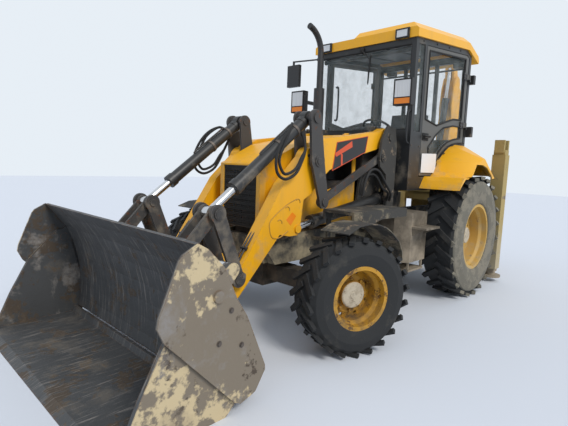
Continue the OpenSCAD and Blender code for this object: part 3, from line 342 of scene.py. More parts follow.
bucket_steel = bucket_coat("bucket_steel", 1.130)
jaw_steel = bucket_coat("jaw_steel", 1.112)
link_steel = finish("link_steel", (0.055, 0.052, 0.05), 0.55, metal=0.2, vary=0.2,
                    mud=(MUD_PALE, 0.2, 1.9, 0.2), chips=(RUST, 12.0, 0.42),
                    edge=((0.2, 0.17, 0.14), 0.005), bump=0.2)
weld_bead = finish("weld_bead", (0.46, 0.24, 0.03), 0.55, vary=0.3, bump=0.2)
pipe_paint = finish("pipe_paint", (0.05, 0.045, 0.04), 0.45, vary=0.25, metal=0.3, bump=0.1,
                    chips=(RUST, 20.0, 0.42))
barrel_paint = finish("barrel_paint", (0.022, 0.022, 0.022), 0.4, mud=(MUD_PALE, 0.2, 1.8, 0.16),
                      vary=0.2, edge=((0.2, 0.16, 0.12), 0.004), bump=0.12)
cab_paint = finish("cab_paint", (0.016, 0.017, 0.018), 0.4, mud=(MUD_PALE, 0.9, 1.75, 0.16, 3.0),
                   vary=0.15, bump=0.08)
door_paint = finish("door_paint", (0.088, 0.086, 0.078), 0.45, mud=(MUD_PALE, 1.0, 1.8, 0.18, 4.0),
                    vary=0.12, bump=0.08)
seal_rubber = finish("seal_rubber", (0.012, 0.012, 0.012), 0.75, bump=0.1)
trim_plastic = finish("trim_plastic", (0.02, 0.02, 0.021), 0.5, vary=0.2,
                      mud=(MUD_PALE, 1.0, 3.2, 0.12), bump=0.2, bump_scale=160.0)
exhaust_paint = finish("exhaust_paint", (0.02, 0.02, 0.021), 0.5, chips=(RUST, 18.0, 0.42),
                       vary=0.2, bump=0.15)
engine_iron = finish("engine_iron", (0.03, 0.028, 0.026), 0.7, mud=(MUD_BROWN, 0.5, 1.5, 0.3))
hoe_paint = finish("hoe_paint", YELLOW, 0.45, mud=(MUD_PALE, 0.2, 2.6, 0.32), vary=0.1,
                   chips=(RUST, 12.0, 0.36), edge=((0.16, 0.09, 0.05), 0.006), bump=0.1)
leg_paint = finish("leg_paint", (0.20, 0.165, 0.11), 0.7, mud=(MUD_PALE, 0.0, 1.3, 0.35),
                   edge=(RUST, 0.006), bump=0.2)
tank_paint = finish("tank_paint", (0.11, 0.09, 0.065), 0.75, mud=(MUD_PALE, 0.3, 1.2, 0.4),
                    bump=0.4, bump_scale=35.0)
seat_fabric = finish("seat_fabric", (0.03, 0.028, 0.03), 0.9, vary=0.2, bump=0.35, bump_scale=420.0)
sign_white = finish("sign_white", (0.72, 0.73, 0.74), 0.35, vary=0.04, bump=0.02)
stripe_black = finish("stripe_black", (0.012, 0.012, 0.014), 0.35, vary=0.1, bump=0.03,
                      mud=(MUD_PALE, 0.8, 2.2, 0.08))
stripe_red = finish("stripe_red", (0.62, 0.075, 0.02), 0.38, vary=0.06, bump=0.03)
bolt_steel = finish("bolt_steel", (0.12, 0.10, 0.085), 0.5, metal=0.5, vary=0.25, bump=0.1)
amber = finish("amber", (0.80, 0.22, 0.01), 0.2, vary=0.08, bump=0.02)


tyre_front = finish("tyre_front", (0.014, 0.015, 0.016), 0.8, vary=0.35,
                    mud=((0.075, 0.068, 0.056), -0.6, 1.3, 0.12, 6.0), bump=0.35, bump_scale=90.0,
                    edge=((0.045, 0.043, 0.040), 0.006))
# the outer sidewall is painted paler, painted sunlight on the face that looks out to the side,
# mottled with paler patches
tyre_rear = finish("tyre_rear", (0.013, 0.014, 0.015), 0.84, vary=0.35,
                   guards=((0.135, 0.125, 0.098), (0.19, 0.17, 0.13), 1.128, 9.0, 0.5),
                   mud=((0.075, 0.068, 0.056), -0.6, 1.5, 0.10, 6.0), bump=0.35, bump_scale=90.0,
                   edge=((0.05, 0.047, 0.043), 0.006))


def rod_chrome():
    material, net, shader = new_material("rod_chrome")
    smear = net.noise(net.object_place(), 14.0, 5.0, 0.6)
    net.put(shader.inputs["Base Color"], net.mix(smear, (0.5, 0.5, 0.5), (0.75, 0.76, 0.78)))
    net.put(shader.inputs["Roughness"], net.ramp(smear, 0.3, 0.7, 0.12, 0.34))
    shader.inputs["Metallic"].default_value = 1.0
    return material


def clear_glass(name, tint, dust):
    """Thin pane: mostly see-through, with a glossy face and a little dried dust."""
    material, net, shader = new_material(name)
    spots = net.noise(net.object_place(), 7.0, 6.0, 0.65)
    net.put(shader.inputs["Base Color"], net.mix(spots, tint, (0.5, 0.5, 0.47)))
    net.put(shader.inputs["Roughness"], net.ramp(spots, 0.45, 0.7, 0.03, 0.16))
    net.put(shader.inputs["Alpha"], net.ramp(spots, 0.42, 0.8, dust, dust + 0.12))
    return material


def lens(name, colour):
    material, net, shader = new_material(name)
    ribs = net.noise(net.stretched(net.object_place(), (1.0, 60.0, 1.0)), 3.0, 2.0, 0.5)
    net.put(shader.inputs["Base Color"], net.mix(ribs, colour, tuple(c * 0.6 for c in colour)))
    shader.inputs["Roughness"].default_value = 0.12
    shader.inputs["Coat Weight"].default_value = 0.6
    return material


chrome = rod_chrome()
pane_clear = clear_glass("pane_clear", (0.20, 0.30, 0.30), 0.07)
lamp_lens = lens("lamp_lens", (0.75, 0.77, 0.78))
red_lens = lens("red_lens", (0.5, 0.02, 0.015))

NODE_FINISH = {
    "chassis": frame_mud, "engine": engine_iron, "front_axle": axle_mud, "rear_axle": axle_mud,
    "hood": hood_paint, "grille": barrel_paint, "cab_frame": cab_paint, "roof": roof_paint,
    "cab_glass": pane_clear, "interior": trim_plastic, "rear_fenders": fender_paint,
    "tanks": tank_paint, "exhaust": exhaust_paint, "lamps": trim_plastic,
    "loader_arms": arm_paint, "stabiliser_leg_left": leg_paint, "stabiliser_leg_right": leg_paint,
    "carriage": frame_mud, "kingpost": frame_mud, "boom": hoe_paint, "dipper": hoe_paint,
    "hoe_bucket": bucket_steel, "bucket_back": bucket_steel, "bucket_jaw": jaw_steel,
}
for name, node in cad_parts.items():
    material = NODE_FINISH.get(name)
    if material is None:
        if name.startswith("rim_"):
            material = rim_front_paint if "front" in name else rim_rear_paint
        elif name.startswith("tyre_"):
            material = tyre_front if "front" in name else tyre_rear
        elif "glass" in name:
            material = pane_clear
        elif name.startswith("door_"):
            material = door_paint
        elif name.startswith("knuckle"):
            material = axle_mud
        elif name.endswith(("_rod", "_rods")):
            material = chrome
        elif name.endswith(("_barrel", "_barrels")):
            material = barrel_paint
        else:
            material = link_steel
    node.data.materials.clear()
    node.data.materials.append(material)


# mesh building

def link_object(name, mesh, material, body):
    mesh.materials.append(material)
    made = bpy.data.objects.new(name, mesh)
    bpy.context.scene.collection.objects.link(made)
    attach(made, body)
    return made


def smooth_path(points, steps=8):
    """Points along one smooth curve through the given ones."""
    ends = [points[0] * 2 - points[1]] + list(points) + [points[-1] * 2 - points[-2]]
    path = []
    for before, a, b, after in zip(ends, ends[1:], ends[2:], ends[3:]):
        for step in range(steps):
            t = step / steps
            bend = (2 * before - 5 * a + 4 * b - after) * t ** 2
            path.append(0.5 * (2 * a + (b - before) * t + bend
                               + (3 * a - before - 3 * b + after) * t ** 3))
    return path + [points[-1]]


class Piece:
    """Solids collected into one mesh. Outlines and corners are in millimetres."""

    def __init__(self):
        self.form = bmesh.new()

    def solid(self, points, faces):
        corners = [self.form.verts.new(p) for p in points]
        made = [self.form.faces.new([corners[i] for i in face]) for face in faces]
        bmesh.ops.recalc_face_normals(self.form, faces=made)
        return made

    def plate(self, outline, y0, y1):
        """A flat outline in X and Z, from y0 to y1."""
        n = len(outline)
        points = [place(x, y, z) for y in (y0, y1) for x, z in outline]
        sides = [(i, (i + 1) % n, (i + 1) % n + n, i + n) for i in range(n)]
        self.solid(points, [tuple(range(n)), tuple(range(n, 2 * n))] + sides)

    def block(self, low, high):
        x0, y0, z0 = low
        x1, y1, z1 = high
        self.plate([(x0, z0), (x1, z0), (x1, z1), (x0, z1)], y0, y1)

    def ring(self, centre, across, up, radius, sides):
        return [centre + (across * math.cos(2 * math.pi * i / sides)
                          + up * math.sin(2 * math.pi * i / sides)) * radius for i in range(sides)]

    def skin(self, rings, sides):
        """A closed skin over rings of points."""
        points = [p for ring in rings for p in ring]
        faces = [tuple(range(sides)), tuple(range(len(points) - sides, len(points)))]
        for i in range(len(rings) - 1):
            for j in range(sides):
                a, b = i * sides + j, i * sides + (j + 1) % sides
                faces.append((a, b, b + sides, a + sides))
        self.solid(points, faces)

    def tube(self, path, radius, sides=10):
        """A round tube along points in metres. radius may be a list, one for each point."""
        radii = radius if isinstance(radius, list) else [radius] * len(path)
        rings, up = [], None
        for i, point in enumerate(path):
            along = (path[min(i + 1, len(path) - 1)] - path[max(i - 1, 0)]).normalized()
            if up is None:
                up = along.orthogonal().normalized()
            up = (up - along * up.dot(along)).normalized()
            rings.append(self.ring(point, up, along.cross(up), radii[i], sides))
        self.skin(rings, sides)

    def turned(self, centre, axis, profile, sides=32):
        """A turned form: profile is (distance along the axis, radius), closed at both ends."""
        across = axis.orthogonal().normalized()
        up = axis.cross(across)
        rings = [self.ring(centre + axis * d, across, up, r, sides) for d, r in profile]
        self.skin(rings, sides)

    def done(self, name, material, body, bevel=0.0, smooth=False):
        mesh = bpy.data.meshes.new(name)
        self.form.to_mesh(mesh)
        self.form.free()
        if smooth:
            mesh.shade_smooth()
            mesh.set_sharp_from_angle(angle=math.radians(38))
        made = link_object(name, mesh, material, body)
        if bevel:
            edge = made.modifiers.new("bevel", "BEVEL")
            edge.width = bevel
            edge.segments = 2
            edge.limit_method = "ANGLE"
            edge.angle_limit = math.radians(40)
        return made


# fasteners, laid by one node tree

def fastener_tree():
    """Hexagon heads with a washer, on every point of the mesh, turned to its axis."""
    tree = bpy.data.node_groups.new("fasteners", "GeometryNodeTree")
    tree.interface.new_socket("Heads", in_out="INPUT", socket_type="NodeSocketGeometry")
    for label, value in (("Radius", 0.012), ("Height", 0.010)):
        socket = tree.interface.new_socket(label, in_out="INPUT", socket_type="NodeSocketFloat")
        socket.default_value = value
    tree.interface.new_socket("Finish", in_out="INPUT", socket_type="NodeSocketMaterial")
    tree.interface.new_socket("Heads", in_out="OUTPUT", socket_type="NodeSocketGeometry")
    net = Net(tree)
    given = net.node("NodeGroupInput").outputs
    target = net.node("NodeGroupOutput")

    def prism(sides, wide, tall):
        head = net.node("GeometryNodeMeshCylinder")
        head.inputs["Vertices"].default_value = sides
        net.put(head.inputs["Radius"], wide)
        net.put(head.inputs["Depth"], tall)
        return head.outputs["Mesh"]

    washer = prism(16, net.math("MULTIPLY", given["Radius"], 1.45),
                   net.math("MULTIPLY", given["Height"], 0.4))
    head = prism(6, given["Radius"], net.math("MULTIPLY", given["Height"], 2.0))
    joined = net.node("GeometryNodeJoinGeometry")
    tree.links.new(washer, joined.inputs[0])
    tree.links.new(head, joined.inputs[0])
    points = net.node("GeometryNodeMeshToPoints")
    net.put(points.inputs["Mesh"], given["Heads"])
    axis = net.node("GeometryNodeInputNamedAttribute", data_type="FLOAT_VECTOR")
    axis.inputs["Name"].default_value = "axis"
    turn = net.node("FunctionNodeAlignRotationToVector", axis="Z")
    tree.links.new(axis.outputs["Attribute"], turn.inputs["Vector"])
    spread = net.node("GeometryNodeInstanceOnPoints")
    tree.links.new(points.outputs[0], spread.inputs["Points"])
    tree.links.new(joined.outputs[0], spread.inputs["Instance"])
    tree.links.new(turn.outputs[0], spread.inputs["Rotation"])
    real = net.node("GeometryNodeRealizeInstances")
    tree.links.new(spread.outputs[0], real.inputs[0])
    paint = net.node("GeometryNodeSetMaterial")
    tree.links.new(real.outputs[0], paint.inputs["Geometry"])
    net.put(paint.inputs["Material"], given["Finish"])
    tree.links.new(paint.outputs[0], target.inputs["Heads"])
    return tree


FASTENERS = fastener_tree()


def fasten(name, spots, material, body, radius=0.012, height=0.010):
    """Fastener heads at spots, each a point in metres and the axis it faces along."""
    mesh = bpy.data.meshes.new(name)
    mesh.from_pydata([tuple(p) for p, _ in spots], [], [])
    axis = mesh.attributes.new("axis", "FLOAT_VECTOR", "POINT")
    for i, (_, along) in enumerate(spots):
        axis.data[i].vector = along
    seed = bpy.data.objects.new(name + "_seed", mesh)
    bpy.context.scene.collection.objects.link(seed)
    layer = seed.modifiers.new("fasteners", "NODES")
    layer.node_group = FASTENERS
    sockets = {s.name: s.identifier for s in FASTENERS.interface.items_tree if s.in_out == "INPUT"}
    layer[sockets["Radius"]] = radius
    layer[sockets["Height"]] = height
    layer[sockets["Finish"]] = material
    depsgraph = bpy.context.evaluated_depsgraph_get()
    result = bpy.data.meshes.new_from_object(seed.evaluated_get(depsgraph))
    bpy.data.objects.remove(seed)
    result.name = name
    result.materials.clear()
    return link_object(name, result, material, body)


# stripes, signs and plates, left blank

# black field on the arm and the stripe across it, [x, z] on the arm's outer face
FIELD = [(1910, 1665), (1407, 1756), (1443, 1596), (1964, 1406)]
STRIPE = [(1936, 1564), (1676, 1692), (1665, 1636), (1912, 1534)]
STRIPE_FOOT = [(1843, 1570), (1815, 1560), (1811, 1462), (1834, 1454)]
ARM_LABEL = [(2477, 1052), (2427, 1016), (2491, 940), (2548, 991)]
# weld bead round the lift pin's plate on the arm, and three short marks inside it
ARM_RIB = [(2429, 1162), (2560, 1110), (2722, 1002), (2735, 925), (2702, 857), (2620, 850),
           (2522, 896)]
RIB_MARKS = [(2413, 1133), (2539, 1073), (2625, 969)]


def arm_stripes():
    for side, out in SIDES:
        face = out * ARM_OUT
        field = Piece()
        field.plate(FIELD, face, face + out * DECAL)
        field.done(f"arm_field_{side}", stripe_black, "loader_arms")
        stripe = Piece()
        stripe.plate(STRIPE, face + out * DECAL, face + out * 2.5)
        stripe.plate(STRIPE_FOOT, face + out * DECAL, face + out * 2.4)
        stripe.done(f"arm_stripe_{side}", stripe_red, "loader_arms")
        frame_line = Piece()
        ring = [place(x, face + out * DECAL, z) for x, z in FIELD + [FIELD[0]]]
        for a, b in zip(ring, ring[1:]):
            frame_line.tube([a, b], 0.0035, 6)
        frame_line.done(f"arm_field_line_{side}", stripe_red, "loader_arms")
        label = Piece()
        label.plate(ARM_LABEL, face, face + out * DECAL)
        label.done(f"arm_label_{side}", amber, "loader_arms")
        bead = Piece()
        bead.tube(smooth_path([place(x, face + out * 1, z) for x, z in ARM_RIB]), 0.005, 6)
        for x, z in RIB_MARKS:
            curl = [place(x + 28 * math.cos(a), face + out, z + 28 * math.sin(a))
                    for a in (math.radians(40 + 22 * i) for i in range(8))]
            bead.tube(curl, 0.005, 6)
        bead.done(f"arm_weld_{side}", weld_bead, "loader_arms", smooth=True)


# door panes, [x, z], as they are cut in the CAD
UPPER_PANE = [(545, 2005), (545, 2738), (-440, 2838), (-440, 2090), (-200, 2075), (60, 2010),
              (250, 1960)]
LOWER_PANE = [(430, 1700), (250, 1850), (60, 1950), (-200, 1995), (-440, 2000), (-440, 1860),
              (-240, 1830), (-80, 1790), (60, 1720), (190, 1620), (300, 1450), (380, 1450)]
# undersides of the two hinges
HINGE_Z = (1990, 2590)
DOOR_SIGN = [(585, 1414), (585, 1624), (222, 1636), (222, 1414)]


def seal_round(piece, corners, radius, sides=6):
    """A round seal along a closed line of points in metres."""
    for a, b in zip(corners, corners[1:] + corners[:1]):
        piece.tube([a, b], radius, sides)


def door_fittings():
    """Blank sign, handle, hinge caps and seals of each door."""
    for side, out in SIDES:
        face, body = out * CAB_HALF, f"door_{side}"
        sign = Piece()
        sign.plate(DOOR_SIGN, face + out * 12, face + out * 14)
        sign.done(f"door_sign_{side}", sign_white, body)
        seals = Piece()
        for pane in (UPPER_PANE, LOWER_PANE):
            seal_round(seals, [place(x, face, z) for x, z in pane], 0.011)
        seals.done(f"door_seals_{side}", seal_rubber, body, smooth=True)
        handle = Piece()
        handle.plate([(448, 1772), (585, 1772), (585, 1852), (448, 1852)],
                     face + out * 1, face + out * 9)
        bow = ((462, 12), (470, 44), (520, 52), (566, 44), (574, 12))
        handle.tube(smooth_path([place(x, face + out * y, 1815) for x, y in bow], 4), 0.009, 8)
        handle.turned(place(545, face + out * 8, 1790), Vector((0, out, 0)),
                      [(0, 0.012), (0.006, 0.012), (0.007, 0.008)], 16)
        handle.done(f"door_handle_{side}", seal_rubber, body, smooth=True)
        hinge = Piece()
        for z in HINGE_Z:
            hinge.plate([(-500, z), (-400, z), (-400, z + 80), (-500, z + 80)],
                        face + out * 1, face + out * 14)
        hinge.done(f"door_hinge_{side}", stripe_black, body)
        bolts = [(place(x, face + out * 15, z + dz), Vector((0, out, 0)))
                 for z in HINGE_Z for x in (-478, -424) for dz in (22, 58)]
        fasten(f"door_hinge_bolts_{side}", bolts, bolt_steel, body, 0.007, 0.006)
        rail = Piece()
        bow = ((500, 40, 2050), (500, 78, 2080), (500, 78, 2440), (500, 40, 2470))
        rail.tube(smooth_path([place(x, face - out * y, z) for x, y, z in bow], 4), 0.012, 8)
        rail.done(f"door_pull_{side}", seal_rubber, body, smooth=True)


def fender_seal():
    """Rubber strip along the inner edge of each fender, beside the door."""
    arc = [(300, 1262), (262, 1360), (236, 1430), (190, 1512), (120, 1588), (30, 1660),
           (-100, 1728), (-242, 1768), (-391, 1796), (-560, 1802)]
    for side, out in SIDES:
        strip = Piece()
        strip.tube(smooth_path([place(x, out * (CAB_HALF + 10), z) for x, z in arc]), 0.009, 8)
        strip.done(f"fender_seal_{side}", seal_rubber, "chassis", smooth=True)
        bolts = [(place(x, out * (CAB_HALF + 34), z + 10), Vector((0, 0, 1)))
                 for x, z in ((60, 1640), (-170, 1745), (-420, 1786))]
        fasten(f"fender_bolts_{side}", bolts, bolt_steel, "chassis", 0.009, 0.006)


# cab front: seal, wiper, blind

ROOF_SLOPE = math.tan(math.radians(5.9))


def roof_line(x):
    """Height of the roof's underside over x."""
    return ROOF_UNDER + (CAB_FRONT + 20 - x) * ROOF_SLOPE


def cab_front():
    """Seals of the windscreen and the rear window, wiper, rolled blind and grab rails."""
    top = roof_line(CAB_FRONT) - 64
    inner = CAB_HALF - 52
    seal = Piece()
    seal_round(seal, [place(CAB_FRONT - 12, y, z) for y, z in
                      ((-inner, 1868), (inner, 1868), (inner, top), (-inner, top))], 0.012, 8)
    back = CAB_REAR + 17
    seal_round(seal, [place(back, y, z) for y, z in
                      ((-inner, 1842), (inner, 1842), (inner, 2760), (-inner, 2760))], 0.012, 8)
    seal.done("cab_seals", seal_rubber, "chassis", smooth=True)
    wiper = Piece()
    wiper.turned(place(CAB_FRONT + 1, -4, 2775), Vector((1, 0, 0)),
                 [(0, 0.030), (0.018, 0.030), (0.024, 0.014), (0.040, 0.012)], 20)
    wiper.tube([place(CAB_FRONT + 26, -4, 2770), place(CAB_FRONT + 18, 60, 2712),
                place(CAB_FRONT + 5, 98, 2660)], [0.008, 0.007, 0.006], 8)
    wiper.tube([place(CAB_FRONT + 2, 104, 2700), place(CAB_FRONT + 2, 98, 2560),
                place(CAB_FRONT + 2, 88, 2400)], [0.005, 0.010, 0.005], 8)
    wiper.tube([place(CAB_FRONT - 8, 106, 2712), place(CAB_FRONT - 8, 86, 2388)], 0.006, 6)
    wiper.done("wiper", seal_rubber, "chassis", smooth=True)
    blind = Piece()
    blind.tube([place(CAB_FRONT - 70, y, top - 30) for y in (-inner + 20, inner - 20)], 0.028, 14)
    blind.done("sun_blind", trim_plastic, "chassis", smooth=True)
    grip = Piece()
    bow = ((0, 1720), (48, 1750), (52, 1900), (48, 2040), (0, 2070))
    for _, out in SIDES:
        path = [place(CAB_FRONT + x, out * (CAB_HALF - 22), z) for x, z in bow]
        grip.tube(smooth_path(path, 4), 0.012, 8)
    grip.done("grab_rails", cab_paint, "chassis", smooth=True)


def lamp_faces():
    """Lenses in the lamp housings: clear glass over an amber strip, red at the rear."""
    clear, warm, red, rim = Piece(), Piece(), Piece(), Piece()
    eave = CAB_FRONT + 42
    for _, out in SIDES:
        y0, y1 = span(out, 622, 790)
        clear.block((1153, y0, 2160), (1158, y1, 2324))
        warm.block((1153, y0, 2094), (1158, y1, 2150))
        near, far = out * 614, out * 798
        seal_round(rim, [place(1156, y, z) for y, z in
                         ((near, 2086), (far, 2086), (far, 2332), (near, 2332))], 0.007)
        rim.tube([place(1157, near, 2155), place(1157, far, 2155)], 0.005, 6)
        y0, y1 = span(out, 444, 576)
        clear.block((eave - 1, y0, ROOF_UNDER + 14), (eave + 2, y1, ROOF_UNDER + 88))
        low, high = ROOF_LOW - 24, ROOF_LOW + 56
        seal_round(rim, [place(eave + 1, y, z) for y, z in
                         ((y0, low), (y1, low), (y1, high), (y0, high))], 0.005)
        y0, y1 = span(out, 440, 550)
        clear.block((CAB_REAR - 75, y0, 2798), (CAB_REAR - 71, y1, 2858))
        y0, y1 = span(out, CAB_HALF - 14, CAB_HALF + 62)
        red.block((CAB_REAR - 63, y0, 1900), (CAB_REAR - 59, y1, 1965))
        warm.block((CAB_REAR - 63, y0, 1970), (CAB_REAR - 59, y1, 2012))
        y0, y1 = span(out, CAB_HALF - 14, CAB_HALF + 42)
        clear.block((CAB_REAR - 63, y0, 2568), (CAB_REAR - 59, y1, 2662))
    clear.done("lamp_glass", lamp_lens, "chassis", bevel=0.001)
    warm.done("turn_glass", amber, "chassis", bevel=0.001)
    red.done("rear_glass", red_lens, "chassis", bevel=0.001)
    rim.done("lamp_rims", seal_rubber, "chassis", smooth=True)


def mirror_face():
    glass = Piece()
    glass.block((927, -1062, 2448), (930, -878, 2702))
    glass.done("mirror_glass", chrome, "chassis")
    rim = Piece()
    seal_round(rim, [place(929, y, z) for y, z in
                     ((-1066, 2444), (-874, 2444), (-874, 2706), (-1066, 2706))], 0.006)
    rim.done("mirror_rim", seal_rubber, "chassis", smooth=True)


def roof_edge():
    """Bolts of the cab's top rail, along the roof's lower edge."""
    spots = []
    for _, out in SIDES:
        for x in (700, 380, 60, -260):
            spots.append((place(x, out * (CAB_HALF + 1), roof_line(x) - 28), Vector((0, out, 0))))
    fasten("rail_bolts", spots, seal_rubber, "chassis", 0.008, 0.005)


# cab inside

def headliner():
    """Dark lining under the roof, between the cab's rails."""
    lining = Piece()

    def panel(front, back, low, high, y0, y1):
        lining.plate([(front, roof_line(front) - low), (front, roof_line(front) - high),
                      (back, roof_line(back) - high), (back, roof_line(back) - low)], y0, y1)

    panel(795, -470, 14, 4, -608, 608)
    for y in (-420, 0, 420):
        panel(700, -380, 26, 12, y - 130, y + 130)
    lining.done("headliner", trim_plastic, "chassis", bevel=0.004)


def cab_inside():
    """Levers, dials, pedals and the seat's covers, seen through the glass."""
    levers, knobs = Piece(), Piece()
    for y in (-330, -290, -250, 250, 290, 330):
        foot, head = place(-400, y, 1770), place(-372, y, 1965)
        levers.tube([foot, head], 0.008, 8)
        knobs.turned(head, UP, [(-0.014, 0.012), (0, 0.021), (0.018, 0.021), (0.030, 0.010)], 16)
    for x, y, z in ((300, -330, 1850), (360, -400, 1800)):
        foot, head = place(x, y, 1256), place(x - 40, y + 10, z)
        levers.tube([foot, head], 0.012, 8)
        knobs.turned(head, UP, [(-0.03, 0.016), (0, 0.028), (0.03, 0.028), (0.05, 0.012)], 16)
    levers.done("control_levers", bolt_steel, "chassis", smooth=True)
    knobs.done("lever_knobs", seal_rubber, "chassis", smooth=True)
    dials = Piece()
    dials.block((580, -170, 1876), (740, 170, 1920))
    for y in (-110, 0, 110):
        dials.turned(place(640, y, 1921), UP, [(0, 0.044), (0.010, 0.044), (0.012, 0.036)], 24)
    dials.done("dash_dials", trim_plastic, "chassis", bevel=0.006)
    seat = Piece()
    seat.block((-285, -225, 1626), (150, 225, 1672))
    for y in (-150, -50, 50, 150):
        seat.tube([place(-270, y, 1673), place(140, y, 1673)], 0.012, 8)
    seat.block((-230, -60, 1700), (-212, 60, 1706))
    seat.done("seat_cover", seat_fabric, "chassis", bevel=0.016)
    for side, out in SIDES:
        y0, y1 = span(out, 262, 330)
        rest = Piece()
        rest.block((-270, y0, 1740), (60, y1, 1790))
        rest.block((-262, y0 + 12, 1540), (-214, y1 - 12, 1742))
        rest.done(f"arm_rest_{side}", seat_fabric, "chassis", bevel=0.014)
    pedals = Piece()
    for y in (-180, -90, 110):
        pedals.block((720, y - 35, 1290), (732, y + 35, 1400))
        pedals.tube([place(726, y, 1345), place(800, y, 1440)], 0.010, 8)
    pedals.done("pedals", seal_rubber, "chassis", bevel=0.004)
    mat = Piece()
    mat.block((-540, -560, 1256), (780, 560, 1262))
    mat.done("floor_mat", trim_plastic, "chassis")


# hoses and pipes, each fixed to one body at both ends

def hose(name, points, radius, body, material=None, steps=8):
    made = Piece()
    made.tube(smooth_path([place(*p) for p in points], steps), radius, 10)
    return made.done(name, material or seal_rubber, body, smooth=True)


def hoses():
    """Pipes on the arms and the boom, and hoses beside the towers."""
    for side, out in SIDES:
        for i, shift in enumerate((0, 34)):
            y = out * (ARM_IN + 24 + shift)
            hose(f"arm_pipe_{i}_{side}",
                 [(2491, y, 1316), (2540, y, 1262), (2622, y, 1164), (2790, y, 966), (2955, y, 771),
                  (3000, y, 700)], 0.009, "loader_arms", pipe_paint, 4)
        clip = Piece()
        for x, z in ((2600, 1192), (2780, 978), (2940, 790)):
            y0, y1 = span(out, ARM_IN + 8, ARM_IN + 76)
            clip.block((x - 16, y0, z - 18), (x + 14, y1, z + 8))
        clip.done(f"pipe_clips_{side}", stripe_black, "loader_arms", bevel=0.004)
        for i, (deep, y) in enumerate(((0, 600), (46, 634))):
            hose(f"tower_hose_{i}_{side}",
                 [(1078, out * (y - 40), 1111), (1130, out * y, 1190), (1238, out * y, 1244 + deep),
                  (1385, out * y, 1369 + deep), (1530, out * y, 1372 + deep), (1616, out * y, 1301),
                  (1630, out * (y - 10), 1176)], 0.013, "chassis")
    for i, y in enumerate((-36, 0, 36)):
        hose(f"hoe_pipe_{i}",
             [(-1640, y, 1860), (-1672, y, 1600), (-1672, y, 1300), (-1640, y, 1040)],
             0.008, "boom", pipe_paint, 4)


def dump_hoses():
    """A pipe along each dump barrel, and two slack loops clamped at its base end."""
    along, off = Vector((0.7985, 0, -0.6020)), Vector((0.6020, 0, 0.7985))

    def beside(s, n, y):
        """A point s along the barrel from its base pin, and n off its axis."""
        return place(DUMP_BASE[0] + along.x * s + off.x * n, y,
                     DUMP_BASE[1] + along.z * s + off.z * n)

    for side, out in SIDES:
        middle = out * (ARM_IN + 55)
        pipe = Piece()
        run = ((196, 54), (210, 64), (330, 64), (470, 64), (600, 64), (618, 54))
        pipe.tube(smooth_path([beside(s, n, middle) for s, n in run], 4), 0.008, 8)
        pipe.done(f"dump_pipe_{side}", pipe_paint, "dump_barrels", smooth=True)
        clamp = Piece()
        for s in (190, 420):
            clamp.turned(beside(s, 0, middle), along, [(-0.012, 0.058), (0.012, 0.058)], 28)
        clamp.done(f"dump_clamp_{side}", bolt_steel, "dump_barrels", bevel=0.002)
        for i, (wide, deep) in enumerate(((0, 0), (-34, 40))):
            hose(f"dump_hose_{i}_{side}",
                 [(2471, middle, 1768), (2510, out * 490, 1778), (2590, out * 540, 1728 - deep / 2),
                  (2678 + wide, out * 550, 1628), (2738 + wide, out * 552, 1496),
                  (2722 + wide, out * 552, 1378 + deep), (2628, out * 552, 1330 + deep),
                  (2511, out * 552, 1376 + deep), (2440, out * 548, 1471 + deep),
                  (2392, out * 540, 1572), (2372, out * 505, 1660), (2372, out * 470, 1722)],
                 0.012, "dump_barrels")


# wheels, grille

def hub_caps():
    """Pale caps on the hubs; a front wheel is steered as it is drawn in the CAD."""
    for side, out in SIDES:
        turn = Matrix.Rotation(-STEER_REST, 3, "Z")
        pin = place(WHEELBASE, out * KINGPIN_Y, FRONT_R)
        axis = turn @ Vector((0, out, 0))
        reach = (FRONT_WHEEL_Y - KINGPIN_Y + FRONT_HUB) / 1000
        cap = Piece()
        cap.turned(pin + axis * reach, axis,
                   [(-0.004, 0.103), (0.004, 0.103), (0.010, 0.096), (0.012, 0.030),
                    (0.016, 0.028)], 36)
        cap.done(f"hub_cap_front_{side}", hub_pale, f"front_wheel_{side}", smooth=True)
        cap = Piece()
        cap.turned(place(0, out * (REAR_WHEEL_Y + REAR_HUB), REAR_R), Vector((0, out, 0)),
                   [(-0.004, 0.093), (0.004, 0.093), (0.012, 0.084), (0.014, 0.030),
                    (0.018, 0.028)], 36)
        cap.done(f"hub_cap_rear_{side}", hub_pale, f"rear_wheel_{side}", smooth=True)


def grille_mesh():
    """Fine wire mesh in front of the louvres."""
    wires = Piece()
    low, high, half = 892, 1414, 232
    upright, level, wire = 30, 34, 2.5
    for i in range(upright):
        y = -half + 2 * half * i / (upright - 1)
        wires.block((2628, y - wire, low), (2631, y + wire, high))
    for i in range(level):
        z = low + (high - low) * i / (level - 1)
        wires.block((2629, -half, z - wire), (2632, half, z + wire))
    wires.done("grille_mesh", seal_rubber, "hood")


# bolts and pin keepers

def arm_fasteners():
    """Bolts round the arm's pins, on the bucket's guards and on the cab's corner panels."""
    for side, out in SIDES:
        axis = Vector((0, out, 0))
        face = out * ARM_OUT
        spots = []
        for x, z in (LEVER_PIN, CRANK_PIN):
            for a in (math.radians(35), math.radians(215)):
                spot = place(x + 78 * math.cos(a), face + out * 1, z + 78 * math.sin(a))
                spots.append((spot, axis))
        fasten(f"arm_bolts_{side}", spots, bolt_steel, "loader_arms", 0.010, 0.007)
        half = out * BUCKET_HALF
        guard = [(3560, 820), (3640, 640), (3560, 420), (3720, 470)]
        fasten(f"guard_bolts_{side}", [(place(x, half + out * 1, z), axis) for x, z in guard],
               bolt_steel, "bucket_back", 0.012, 0.008)
        cab = [(820, 1300), (820, 1500), (820, 1700), (640, 1300), (640, 1700)]
        fasten(f"panel_bolts_{side}", [(place(x, out * (CAB_HALF + 1), z), axis) for x, z in cab],
               bolt_steel, "chassis", 0.008, 0.005)


